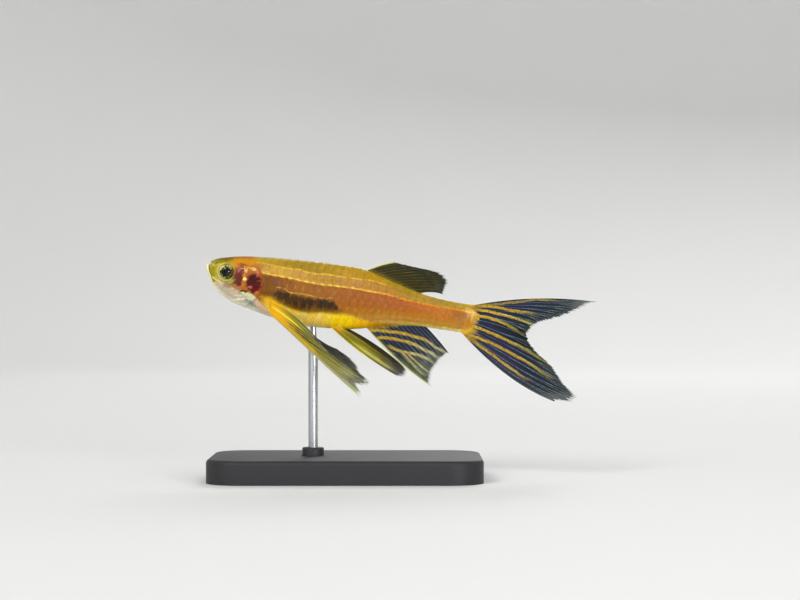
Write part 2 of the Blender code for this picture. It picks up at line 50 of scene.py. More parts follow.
# The fish's place in the frame
PITCH = math.radians(11.5)
CHIN_HEIGHT = 31.5
TAIL_TIP = (57.4, 6.1)
FISH_X = -(TAIL_TIP[0] * math.cos(PITCH) + TAIL_TIP[1] * math.sin(PITCH)) / 2

# Outline stations of the body: (u, v)
BACK_LINE = (
    (0.0, 0.0), (0.2, 0.34), (0.5, 0.6), (1.4, 1.21), (3.1, 1.84), (7.4, 2.8), (13.5, 3.57), (19.7, 4.07),
    (22.8, 4.15), (26.3, 3.45), (31.0, 2.46), (36.3, 2.04), (40.0, 2.2),
)
BELLY_LINE = (
    (0.0, 0.0), (0.2, -0.5), (0.74, -1.43), (1.95, -2.98), (4.3, -4.34), (7.2, -5.03), (11.2, -5.68),
    (15.5, -6.02), (19.1, -5.62), (23.5, -4.91), (27.0, -3.85), (31.3, -2.8), (36.3, -2.42), (40.0, -2.25),
)
HALF_WIDTH = (
    (0.0, 0.0), (0.2, 0.5), (0.8, 1.0), (1.6, 1.4), (3.3, 1.9), (5.5, 2.2), (8.0, 2.45), (12.0, 2.6),
    (16.0, 2.5), (20.0, 2.2), (24.0, 1.8), (28.0, 1.4), (32.0, 1.05), (36.0, 0.78), (40.0, 0.55),
)
WIDEST_LEVEL = (
    (0.0, -0.05), (1.6, -0.5), (3.3, -0.6), (8.0, -1.2), (14.0, -1.3), (22.0, -0.7), (30.0, -0.2),
    (40.0, 0.0),
)
BACK_ROUNDNESS, BELLY_ROUNDNESS = 0.86, 1.0
SKIN_END = 40.0
TAIL_BULGE = 1.15  # how far the flesh reaches further back over the tail fin in its middle than at its edges
TAIL_TAPER = 0.3  # share of the tail base's width that is left where the flesh ends

# Lines of the head in the side view, from the back down
GILL_EDGE = (
    (6.9, 4.5), (7.2, 2.2), (8.4, 0.6), (9.1, -0.9), (9.1, -2.2), (8.4, -3.6), (7.3, -4.7), (6.6, -6.5),
)
CHEEK_EDGE = ((6.5, 1.2), (5.7, 0.2), (5.4, -1.4), (5.7, -2.8), (6.6, -3.9))
MOUTH_LINE = ((0.5, 0.8), (0.58, 0.3), (0.66, -0.3), (0.8, -0.7), (1.12, -1.2), (1.5, -1.8))
EYE_CENTRE = (3.36, -0.35)
EYE_RADIUS, EYE_DEPTH, EYE_BULGE = 1.2, 0.95, 0.32
NOSTRILS = ((1.55, 0.66), (1.95, 0.8))
BARBELS = (((0.75, 0.42, 0.62), (1.75, 0.1, 1.5)), ((1.45, -1.5, 1.2), (3.4, -2.5, 2.0)))

# Depths under the solids' surface
HEAD_DEPTH, BODY_DEPTH = 0.03, 0.08

# Fin rays as in the solids, then how many of them, and the rows and columns of the fine membrane
DORSAL_KEYS = (
    ((23.3, 3.8), (25.1, 5.1), (27.1, 6.05)), ((24.3, 3.6), (27.0, 4.95), (30.6, 5.88)),
    ((25.3, 3.3), (29.2, 4.6), (34.0, 5.85)), ((26.6, 2.9), (30.8, 4.1), (35.6, 4.95)),
    ((28.6, 2.5), (32.0, 3.45), (35.5, 3.9)), ((31.4, 2.0), (33.2, 2.68), (35.15, 2.75)),
)
ANAL_KEYS = (
    ((24.9, -4.1), (30.3, -7.95), (36.25, -10.9)), ((26.8, -3.5), (31.2, -6.7), (36.0, -9.6)),
    ((28.8, -2.9), (32.4, -5.4), (36.2, -8.1)), ((31.0, -2.4), (34.0, -4.5), (36.9, -6.7)),
    ((33.2, -2.1), (35.6, -3.8), (37.75, -5.6)),
)
TAIL_UPPER_KEYS = (
    ((38.9, 1.7), (48.5, 4.85), (57.4, 6.08)), ((39.0, 1.6), (48.0, 4.0), (55.8, 5.0)),
    ((39.1, 1.45), (47.0, 2.85), (53.1, 3.0)), ((39.2, 1.2), (45.0, 1.8), (49.7, 1.3)),
    ((39.3, 0.1), (44.2, -0.16), (48.5, -0.98)),
)
TAIL_LOWER_KEYS = (
    ((38.6, -2.0), (46.6, -6.95), (54.4, -9.5)), ((38.8, -1.85), (47.5, -6.4), (57.2, -9.0)),
    ((39.0, -1.7), (48.2, -5.5), (57.6, -8.0)), ((39.1, -1.4), (48.2, -4.1), (55.6, -6.9)),
    ((39.2, -0.9), (47.0, -2.7), (53.4, -4.8)), ((39.3, -0.5), (45.6, -1.8), (50.6, -2.95)),
    ((39.3, 0.08), (44.2, -0.1), (48.6, -0.96)),
)
PELVIC_KEYS = (
    ((19.4, -4.9), (24.8, -7.95), (31.0, -10.3)), ((19.8, -4.85), (25.1, -7.7), (31.7, -10.4)),
    ((20.1, -4.8), (25.4, -7.4), (32.25, -10.15)), ((20.5, -4.75), (25.6, -7.05), (32.2, -9.7)),
    ((20.8, -4.7), (25.8, -6.7), (31.3, -9.2)),
)
FAR_PELVIC_KEYS = (
    ((19.6, -4.85), (25.0, -7.6), (31.8, -10.2)), ((20.4, -4.7), (26.0, -6.9), (32.5, -9.8)),
    ((21.1, -4.6), (26.3, -6.3), (31.7, -8.9)),
)
PECTORAL_KEYS = (
    ((10.4, -4.75), (18.6, -9.75), (26.4, -14.3)), ((10.3, -4.55), (18.5, -9.4), (26.7, -13.8)),
    ((10.2, -4.35), (18.4, -9.05), (25.9, -12.75)), ((9.9, -4.05), (18.2, -8.5), (27.9, -12.4)),
    ((9.8, -3.7), (17.7, -7.8), (26.6, -11.3)), ((9.7, -3.4), (16.6, -6.65), (22.5, -10.0)),
    ((9.7, -3.1), (14.8, -4.6), (18.3, -7.4)),
)
FAR_PECTORAL_KEYS = (
    ((9.9, -4.5), (18.3, -9.2), (25.4, -12.9)), ((9.9, -4.2), (18.1, -8.6), (26.0, -12.1)),
    ((9.8, -3.9), (17.8, -8.0), (25.6, -11.2)), ((9.8, -3.6), (17.4, -7.4), (24.3, -9.7)),
    ((9.7, -3.2), (16.6, -6.8), (21.4, -8.45)),
)
COLUMNS_PER_RAY, FIN_ROWS = 14, 170
MEMBRANE, RAY_HEIGHT, ROOT_THICKNESS = 0.10, 0.15, 0.34  # thicknesses in mm
FRINGE = 0.05  # how far the membrane ends short of the rays
JOINT_PACE = 150.0  # how fast the joints follow along a ray

# Scales
SCALE_ROWS = 10  # on each side, from back to belly
SCALE_PITCH = 1.16
SCALE_LENGTH, SCALE_HEIGHT = 0.78, 0.94  # shares of the pitch and of a row's height, from the centre
SCALE_RINGS, SCALE_SPOKES = (0.25, 0.5, 0.74, 0.9, 0.975, 1.0), 24
SCALE_PATCH = 0.003  # width of a scale's patch on the unwrap

# Stand
BASE_LENGTH, BASE_WIDTH, BASE_THICKNESS = 40.0, 24.0, 3.5
BASE_CORNER, BASE_EDGE = 5.0, 0.6
BASE_SHIFT = -8.0
ROD_RADIUS, ROD_U = 0.7, 17.4
BOSS_RADIUS, BOSS_HEIGHT = 1.6, 1.2

# Stage: the camera stands as far off as makes one millimetre the photograph's size
PHOTO_WIDTH = 800
MM_PER_PIXEL = 40.0 / 271.9
LENS, SENSOR = 100.0, 36.0
CAMERA_DISTANCE = PHOTO_WIDTH * MM_PER_PIXEL * LENS / SENSOR
CAMERA_X, CAMERA_Z = -0.07, 26.35
# The near flank is nearer to the camera than the middle plane, so its places look this much further out
SEEN_STRETCH, SEEN_SHIFT = 1.007, -0.2


def curve_through(points, x):
    """The smooth curve through points, read at x. Its slope at each point is that between the neighbours."""
    xs, ys = np.array(points, float).T
    slopes = np.gradient(ys, xs)
    i = np.clip(np.searchsorted(xs, x) - 1, 0, len(xs) - 2)
    span = xs[i + 1] - xs[i]
    t = (np.asarray(x, float) - xs[i]) / span
    blend = t * t * (3 - 2 * t)
    bend = t * (1 - t)
    return ys[i] * (1 - blend) + ys[i + 1] * blend + span * bend * ((1 - t) * slopes[i] - t * slopes[i + 1])


def smooth_step(x, low, high):
    t = np.clip((np.asarray(x, float) - low) / (high - low), 0, 1)
    return t * t * (3 - 2 * t)


def bell(x, width):
    return np.exp(-((x / width) ** 2))


def to_frame(u, y, v):
    """Fish millimetres to places in the frame, in metres, as an array (..., 3)."""
    x = u * math.cos(PITCH) + v * math.sin(PITCH) + FISH_X
    z = v * math.cos(PITCH) - u * math.sin(PITCH) + CHIN_HEIGHT
    return np.stack([x, y + 0 * x, z], axis=-1) * MM


def line_reader(points):
    """The smooth curve through side-view points, read as u for any height v."""
    by_height = sorted((v, u) for u, v in points)
    return lambda v: curve_through(by_height, np.clip(v, by_height[0][0], by_height[-1][0]))


gill_at, cheek_at, mouth_at = (line_reader(line) for line in (GILL_EDGE, CHEEK_EDGE, MOUTH_LINE))


def section(u, angle):
    """(y, v) of the bare body at u, with angle 0 on the back, pi on the belly and y over 0 in between."""
    top, bottom = curve_through(BACK_LINE, u), curve_through(BELLY_LINE, u)
    level = curve_through(WIDEST_LEVEL, u)
    margin = 0.35 * (top - bottom)
    level = np.minimum(np.maximum(level, bottom + margin), top - margin)
    cosine, sine = np.cos(angle), np.sin(angle)
    reach = np.where(cosine > 0, top - level, level - bottom)
    power = np.where(cosine > 0, BACK_ROUNDNESS, BELLY_ROUNDNESS)
    taper = 1 - (1 - TAIL_TAPER) * smooth_step(u, 38.0, SKIN_END)
    across = np.sign(sine) * np.abs(sine) ** power * curve_through(HALF_WIDTH, u) * taper
    return across, level + reach * cosine


def bare_place(u, angle):
    y, v = section(u, angle)
    back = smooth_step(u, 37.0, SKIN_END) * TAIL_BULGE * np.clip(1 - (v / 2.4) ** 2, 0, 1)
    return np.stack([u + back, y, v], axis=-1)


def bare_normal(u, angle):
    step = 0.01
    along = bare_place(u + step, angle) - bare_place(np.maximum(u - step, 0.001), angle)
    around = bare_place(u, angle + step) - bare_place(u, angle - step)
    normal = np.cross(along, around)
    length = np.linalg.norm(normal, axis=-1, keepdims=True)
    normal = normal / np.maximum(length, 1e-12)
    y, v = section(u, angle)
    level = curve_through(WIDEST_LEVEL, u)
    outward = normal[..., 1] * y + normal[..., 2] * (v - level) - normal[..., 0] * smooth_step(u, 1.0, 0.1)
    return normal * np.where(outward < 0, -1.0, 1.0)[..., None]


def relief(place):
    """How far the skin stands out from the bare form at this place, in mm: below 0 is inwards."""
    u, y, v = place[..., 0], place[..., 1], place[..., 2]
    flank = smooth_step(np.abs(y), 0.25, 0.8)
    behind_gill = u - gill_at(v)
    slit = smooth_step(v, 1.5, 0.5)
    body = smooth_step(behind_gill, -0.02 - 0.5 * (1 - slit), 0.05 + 0.6 * (1 - slit))
    depth = HEAD_DEPTH + (BODY_DEPTH - HEAD_DEPTH) * body
    out = -depth
    out -= 0.16 * slit * bell(behind_gill - 0.1, 0.11)
    out += 0.05 * slit * bell(behind_gill + 0.35, 0.3)

    behind_cheek = u - cheek_at(v)
    cheek = smooth_step(v, -4.2, -3.4) * smooth_step(v, 1.5, 0.9) * flank
    out -= 0.07 * cheek * bell(behind_cheek, 0.09)
    out += 0.035 * cheek * bell(behind_cheek + 0.32, 0.22)
    inner_cheek = smooth_step(v, -3.6, -2.8) * smooth_step(v, 0.2, -0.6) * flank
    out -= 0.035 * inner_cheek * bell(behind_cheek + 0.85, 0.07)
    for k in range(3):
        low = v - (-3.95 - 0.42 * k + 0.12 * (u - 6.5))
        forward = smooth_step(u, 4.6 + 0.3 * k, 5.4) * smooth_step(behind_gill, -0.1, -0.7)
        out -= 0.04 * bell(low, 0.06) * forward * flank

    from_eye = np.hypot(u - EYE_CENTRE[0], v - EYE_CENTRE[1])
    out -= 0.75 * smooth_step(from_eye, 1.17, 1.03) * flank
    out += 0.05 * bell(from_eye - 1.27, 0.09) * flank
    out -= 0.035 * bell(from_eye - 1.55, 0.14) * flank * smooth_step(v, 0.6, -0.4)

    across = (u - mouth_at(v)) * 0.85
    mouth = smooth_step(v, -1.8, -1.2) * smooth_step(u, 1.75, 1.5)
    notch = smooth_step(v, 0.05, 0.4)
    out -= (0.2 + 0.22 * notch) * mouth * bell(across, 0.06 + 0.07 * notch)
    out += 0.05 * mouth * (1 - notch) * (bell(across - 0.2, 0.13) + bell(across + 0.2, 0.14))
    out -= 0.04 * mouth * bell(across - 0.48, 0.06)
    out -= 0.13 * notch * smooth_step(across, 0.05, -0.1)
    for n, (nu, nv) in enumerate(NOSTRILS):
        near = np.hypot(u - nu, v - nv)
        out -= (0.2 if n == 0 else 0.24) * bell(near, 0.1)
        out += 0.03 * bell(near - 0.2, 0.06)
    throat = smooth_step(u, 2.6, 4.0) * smooth_step(u, 8.2, 6.8) * smooth_step(v, -3.4, -4.2)
    out -= 0.07 * throat * bell(np.abs(y) - 0.12 - 0.1 * (u - 4.0), 0.07)
    out += (0.02 * np.sin(1.7 * u + 0.6 * v) * np.sin(2.1 * v - 0.4 * u)
            * smooth_step(behind_gill, 0.0, -1.0) * flank)
    return np.minimum(out, -0.035 + 0.2 * u)


def skin_place(u, angle):
    bare = bare_place(u, angle)
    return bare + bare_normal(u, angle) * relief(bare)[..., None]


def linked(name, data):
    made = bpy.data.objects.new(name, data)
    bpy.context.scene.collection.objects.link(made)
    return made


def mesh_object(name, verts, faces):
    """A smooth mesh object from places in the frame and from faces."""
    mesh = bpy.data.meshes.new(name)
    faces = faces.tolist() if isinstance(faces, np.ndarray) else faces
    mesh.from_pydata(np.asarray(verts, float).tolist(), [], faces)
    mesh.validate()
    mesh.shade_smooth()
    return linked(name, mesh)


def close_up(mesh):
    """Joins the doubled corners of a mesh and turns its faces outwards."""
    bm = bmesh.new()
    bm.from_mesh(mesh)
    bmesh.ops.remove_doubles(bm, verts=bm.verts, dist=1e-8)
    bmesh.ops.recalc_face_normals(bm, faces=bm.faces)
    bm.to_mesh(mesh)
    bm.free()
    mesh.shade_smooth()


def turned(name, profile, steps, place):
    """A piece turned about an axis. Profile is (radius, height) points, and place says where they come."""
    radii, heights = np.array(profile, float).T
    r, a = np.meshgrid(radii, np.linspace(0, 2 * math.pi, steps, endpoint=False), indexing="ij")
    verts = place(r, a, np.repeat(heights[:, None], steps, axis=1)).reshape(-1, 3)
    return mesh_object(name, verts, grid_faces(len(profile), steps, wrap=True))


def give_attribute(obj, name, values):
    attribute = obj.data.attributes.new(name, "FLOAT", "POINT")
    attribute.data.foreach_set("value", np.asarray(values, np.float32).ravel())


def give_unwrap(obj, places):
    """The UV map that the markings are baked on, from one place per vertex."""
    layer = obj.data.uv_layers.new(name="OFBake")
    loops = np.empty(len(obj.data.loops), np.int32)
    obj.data.loops.foreach_get("vertex_index", loops)
    layer.data.foreach_set("uv", np.asarray(places, np.float32)[loops].ravel())


def grid_faces(rows, columns, wrap=False, start=0):
    """Quads of a grid of rows by columns of vertices, closed round the columns if wrap."""
    i, j = np.meshgrid(np.arange(rows - 1), np.arange(columns if wrap else columns - 1), indexing="ij")
    k = (j + 1) % columns
    row, following = i * columns, (i + 1) * columns
    quads = np.stack([row + j, row + k, following + k, following + j], axis=-1)
    return quads.reshape(-1, 4) + start


# Materials


def tone(red, green, blue):
    """A colour given in screen values from 0 to 255, as the linear one that shaders take."""
    linear = []
    for value in (red, green, blue):
        share = value / 255
        linear.append(share / 12.92 if share <= 0.04045 else ((share + 0.055) / 1.055) ** 2.4)
    return (*linear, 1.0)


class Value:
    """A number or colour that a node puts out. Arithmetic on it makes Math nodes."""

    def __init__(self, look, socket):
        self.look, self.socket = look, socket

    def __add__(self, other):
        return self.look.math("ADD", self, other)

    def __radd__(self, other):
        return self.look.math("ADD", other, self)

    def __sub__(self, other):
        return self.look.math("SUBTRACT", self, other)

    def __rsub__(self, other):
        return self.look.math("SUBTRACT", other, self)

    def __mul__(self, other):
        return self.look.math("MULTIPLY", self, other)

    def __truediv__(self, other):
        return self.look.math("DIVIDE", self, other)

    def __abs__(self):
        return self.look.math("ABSOLUTE", self)


class Look:
    """One material, whose nodes are written as plain expressions. Colours are screen values from 0 to 255."""

    def __init__(self, name):
        self.material = bpy.data.materials.new(name)
        self.material.use_nodes = True
        self.tree = self.material.node_tree
        self.shader = self.tree.nodes["Principled BSDF"]

    def node(self, kind, **settings):
        made = self.tree.nodes.new("ShaderNode" + kind)
        for key, value in settings.items():
            setattr(made, key, value)
        return made

    def made(self, kind, output, values, **settings):
        """A new node's output, with values put into its inputs by name or number."""
        made = self.node(kind, **settings)
        for key, value in values.items():
            self.put(made.inputs[key], value)
        return Value(self, made.outputs[output])

    def put(self, socket, value):
        if isinstance(value, Value):
            self.tree.links.new(value.socket, socket)
        elif socket.type == "RGBA" and len(value) == 3:
            socket.default_value = tone(*value)
        else:
            socket.default_value = value

    def math(self, operation, *values, clamp=False):
        return self.made("Math", 0, dict(enumerate(values)), operation=operation, use_clamp=clamp)

    def far(self, a, b):
        return self.math("SQRT", a * a + b * b)

    def most(self, *values):
        result = values[0]
        for value in values[1:]:
            result = self.math("MAXIMUM", result, value)
        return result

    def step(self, x, low, high):
        """0 below low and 1 above high, or the other way round where low is the greater."""
        falling = low > high
        ends = (x, min(low, high), max(low, high), float(falling), float(not falling))
        return self.made("MapRange", 0, dict(enumerate(ends)), interpolation_type="SMOOTHSTEP")

    def mix(self, factor, a, b, blend="MIX"):
        settings = {"data_type": "RGBA", "blend_type": blend, "clamp_factor": True}
        return self.made("Mix", 2, {0: factor, 6: a, 7: b}, **settings)

    def paint(self, colour, *layers):
        """The colour with layers of (how much it hides, colour) laid over it in this order."""
        for hiding, shade in layers:
            colour = self.mix(hiding, colour, shade)
        return colour

    def part(self, colour, index):
        return self.made("SeparateColor", index, {0: colour})

    def vector(self, *parts):
        return self.made("CombineXYZ", 0, dict(enumerate(parts)))

    def curve(self, x, points):
        """The smooth curve through points, read at x, level beyond its ends."""
        xs, ys = zip(*points)
        left, width = min(xs), max(xs) - min(xs)
        low, height = min(ys), (max(ys) - min(ys)) or 1.0
        made = self.node("FloatCurve")
        line = made.mapping.curves[0]
        for k, (px, py) in enumerate(points):
            place = ((px - left) / width, (py - low) / height)
            if k < len(line.points) and k < 2:
                line.points[k].location = place
            else:
                line.points.new(*place)
        made.mapping.update()
        self.put(made.inputs["Value"], self.math("DIVIDE", x - left, width, clamp=True))
        return Value(self, made.outputs[0]) * height + low

    def ramp(self, x, stops):
        """Colours along x, from (x, colour) stops."""
        left, width = stops[0][0], stops[-1][0] - stops[0][0]
        made = self.node("ValToRGB")
        elements = made.color_ramp.elements
        while len(elements) < len(stops):
            elements.new(0.5)
        for element, (place, colour) in zip(elements, stops):
            element.position = (place - left) / width
            element.color = tone(*colour)
        self.put(made.inputs[0], self.math("DIVIDE", x - left, width, clamp=True))
        return Value(self, made.outputs[0])

    def noise(self, place, scale, detail=2.0, roughness=0.5, output="Fac"):
        """Smooth noise from 0 to 1, with scale in lumps a millimetre."""
        values = {"Vector": place, "Scale": scale, "Detail": detail, "Roughness": roughness}
        return self.made("TexNoise", output, values)

    def fish_place(self):
        """The place in fish millimetres, as a vector and as u, y and v."""
        where = Value(self, self.node("TexCoord").outputs["Object"])
        place = self.made("Mapping", 0, {
            "Vector": where, "Location": (FISH_X * MM, 0.0, CHIN_HEIGHT * MM), "Rotation": (0.0, PITCH, 0.0),
            "Scale": (MM, MM, MM),
        }, vector_type="TEXTURE")
        parts = self.node("SeparateXYZ")
        self.put(parts.inputs[0], place)
        return place, *(Value(self, output) for output in parts.outputs)

    def stretched(self, place, sizes):
        return self.made("Mapping", 0, {"Vector": place, "Scale": sizes}, vector_type="POINT")

    def attribute(self, name):
        return self.made("Attribute", "Fac", {}, attribute_name=name)

    def bump(self, height, distance):
        bumps = self.made("Bump", 0, {"Strength": 1.0, "Distance": distance, "Height": height})
        self.put(self.shader.inputs["Normal"], bumps)

    def set(self, **values):
        for key, value in values.items():
            self.put(self.shader.inputs[key.replace("_", " ")], value)


OLIVE, YELLOW_GREEN = (172, 136, 58), (156, 144, 8)
GOLD_LINE, ORANGE_LINE = (226, 182, 84), (226, 146, 32)
ROSE_TAN = (182, 122, 86)
CREAM, CREAM_YELLOW, BRIGHT_YELLOW = (255, 236, 206), (255, 212, 92), (255, 212, 12)
ORGAN_BLUE = (38, 32, 40)
THROAT = (192, 178, 168)
DEEPEN = (0.72, 0.71, 0.29, 1.0)  # linear shares of red, green and blue that stay
NAPE = (204, 130, 26)

FIRST_LINE = (
    (7.2, 1.8), (9.06, 1.96), (10.2, 1.9), (11.7, 1.92), (13.0, 1.98), (13.9, 2.1), (14.9, 1.95),
    (16.4, 1.98), (17.9, 2.22), (19.6, 2.27), (21.2, 2.38), (23.1, 2.49), (24.4, 2.62), (25.5, 2.57),
    (26.7, 2.41), (28.8, 2.1), (31.0, 1.8),
)
SECOND_LINE = (
    (8.1, 0.9), (9.67, 0.57), (11.5, 0.63), (16.4, 0.58), (18.6, 0.72), (20.0, 0.84), (22.5, 1.0),
    (25.3, 1.08), (26.7, 1.12), (28.1, 1.08), (29.5, 0.92), (32.9, 0.86), (35.0, 0.86), (37.1, 0.93),
    (39.0, 0.94), (41.0, 1.1),
)
THIRD_LINE = (
    (10.6, -1.25), (11.7, -1.05), (12.5, -1.15), (13.2, -1.45), (14.9, -1.3), (18.0, -1.33), (19.2, -1.05),
    (20.5, -0.9),
)
BELLY_TOP = ((9.0, -2.6), (12.0, -3.2), (15.0, -3.75), (19.4, -3.2), (22.5, -3.0), (25.6, -3.3))
ORGAN_TOP = (
    (9.6, -2.2), (10.46, -1.7), (12.3, -1.4), (14.61, -1.6), (16.83, -1.55), (19.25, -1.34), (20.0, -1.76),
    (20.7, -2.33), (21.3, -2.8),
)
ORGAN_BOTTOM = (
    (9.6, -2.3), (10.75, -2.75), (13.43, -3.4), (14.99, -3.64), (17.15, -3.2), (19.37, -3.0), (21.0, -2.5),
)
THROAT_LINE = (
    (0.0, 0.7), (0.45, 0.3), (0.78, -0.6), (1.1, -1.15), (1.5, -1.8), (1.8, -2.2), (2.1, -1.95),
    (2.55, -1.65), (3.3, -1.8), (4.2, -2.05), (5.0, -2.55), (6.2, -2.75), (7.65, -2.75), (8.6, -3.3),
    (9.6, -4.1), (10.4, -4.7), (11.2, -5.3), (12.5, -6.2),
)

# Soft ovals of colour on the head and just behind it, painted in this order:
# (u, v), half its length and height, its turn in degrees, softness, strength and colour
HEAD_OVALS = (
    ((2.15, -0.4), 0.5, 1.1, 0, 0.5, 0.55, (214, 196, 124)),
    ((3.3, 1.25), 1.5, 0.5, 15, 0.4, 0.7, (168, 130, 20)),
    ((4.9, 1.6), 1.2, 0.6, 12, 0.7, 0.75, (216, 148, 16)),
    ((6.2, 1.85), 1.1, 0.6, 8, 0.7, 0.85, (214, 146, 18)),
    ((5.3, 2.3), 1.6, 0.16, 6, 0.6, 0.6, (150, 92, 10)),
    ((7.35, 2.2), 0.6, 0.4, 10, 0.8, 0.4, (196, 160, 22)),
    ((3.0, 1.7), 1.5, 0.4, 20, 0.6, 0.8, (98, 76, 8)),
    ((4.75, 0.85), 0.5, 0.45, 0, 0.5, 0.7, (214, 128, 20)),
    ((5.3, 0.35), 0.8, 0.75, 0, 0.4, 0.9, (132, 48, 14)),
    ((6.7, 0.8), 0.9, 0.45, 0, 0.5, 0.6, (180, 100, 56)),
    ((5.65, 1.05), 0.5, 0.16, -25, 0.5, 0.6, (122, 58, 10)),
    ((5.0, 1.2), 0.35, 0.11, 30, 0.5, 0.6, (136, 68, 12)),
    ((6.5, 1.35), 0.4, 0.1, 35, 0.5, 0.5, (240, 170, 60)),
    ((5.15, -1.15), 0.75, 1.15, 0, 0.35, 0.95, (96, 30, 34)),
    ((4.95, -2.35), 0.95, 0.4, -10, 0.4, 0.7, (190, 132, 138)),
    # Partly the pale front edge of the gill cover, partly painted highlight along it
    ((6.0, -0.8), 0.16, 1.75, -3, 0.6, 0.7, (204, 118, 84)),
    ((8.7, -1.1), 0.55, 1.3, 0, 0.6, 0.75, (156, 34, 10)),
    ((9.6, -0.7), 1.0, 1.2, 0, 0.6, 0.85, (124, 74, 6)),
    ((9.6, -2.1), 0.9, 0.8, 0, 0.6, 0.85, (120, 68, 0)),
    ((11.0, -3.85), 1.9, 0.85, -25, 0.45, 0.92, (232, 174, 6)),
    ((10.8, -0.3), 0.85, 0.4, -10, 0.6, 0.6, (122, 76, 88)),
)
CHIN_OVALS = (
    ((2.3, -1.75), 0.8, 0.5, -20, 0.5, 0.5, (202, 190, 150)),
    ((3.9, -2.2), 0.85, 0.4, 8, 0.5, 0.75, (140, 106, 92)),
    ((3.95, -1.5), 0.85, 0.32, 15, 0.35, 0.8, (160, 172, 120)),
    ((7.0, -3.1), 1.1, 0.33, -8, 0.3, 0.85, (206, 212, 180)),
    ((6.4, -3.75), 1.3, 0.16, 12, 0.4, 0.7, (246, 242, 232)),
    ((7.6, -4.05), 0.95, 0.28, -22, 0.35, 0.85, (132, 148, 152)),
    ((9.3, -4.3), 1.2, 0.5, -35, 0.5, 0.75, (230, 186, 168)),
    ((6.4, -2.6), 0.6, 0.13, 12, 0.5, 0.9, (30, 16, 10)),
    ((7.6, -2.6), 0.5, 0.12, -35, 0.5, 0.9, (28, 12, 12)),
)
# Mostly painted highlights on the gill cover, the gill and the throat, with a few small dark specks of the
# throat among them
GLINT_AND_SPECK_OVALS = (
    ((6.1, -0.85), 0.22, 0.22, 0, 0.35, 1.0, (255, 236, 196)),
    ((6.7, 0.88), 0.75, 0.14, 0, 0.5, 0.6, (244, 192, 150)),
    ((7.15, 0.72), 0.16, 0.14, 0, 0.4, 1.0, (255, 214, 172)),
    ((6.1, 0.4), 0.16, 0.4, 25, 0.4, 0.8, (244, 190, 140)),
    ((8.25, -0.75), 0.32, 0.05, 12, 0.4, 0.7, (214, 110, 126)),
    ((6.9, -2.0), 0.6, 0.09, 25, 0.4, 0.65, (196, 110, 130)),
    ((8.3, -2.35), 0.16, 0.13, 0, 0.4, 0.8, (230, 130, 120)),
    ((7.9, 0.1), 0.25, 0.3, 0, 0.5, 0.6, (210, 90, 84)),
    ((5.6, -3.4), 0.6, 0.07, 10, 0.4, 0.6, (252, 244, 236)),
    ((6.05, -3.15), 0.3, 0.07, -30, 0.5, 0.7, (72, 60, 48)),
    ((5.5, -2.95), 0.4, 0.09, 20, 0.5, 0.5, (140, 112, 100)),
    ((6.9, -3.35), 0.35, 0.07, -15, 0.5, 0.6, (96, 100, 76)),
    ((4.6, -2.75), 0.3, 0.07, -25, 0.5, 0.5, (150, 110, 96)),
    ((5.95, -2.85), 0.3, 0.08, 35, 0.5, 0.7, (54, 46, 38)),
    ((5.4, -4.1), 0.9, 0.08, 14, 0.4, 0.7, (250, 246, 240)),
    ((9.3, 0.75), 0.5, 0.1, -20, 0.5, 0.6, (250, 206, 110)),
)
TAIL_OVALS = (
    ((41.5, -0.28), 0.75, 0.3, -8, 0.35, 0.9, (52, 60, 78)),
    ((40.55, -0.3), 0.5, 0.2, -8, 0.5, 0.6, (196, 160, 150)),
    ((41.6, 1.22), 0.55, 0.2, -8, 0.35, 0.9, (60, 70, 80)),
    ((41.0, 1.4), 0.4, 0.2, -8, 0.5, 0.7, (190, 186, 158)),
    ((40.9, -1.65), 0.6, 0.25, -12, 0.4, 0.7, (104, 104, 92)),
)


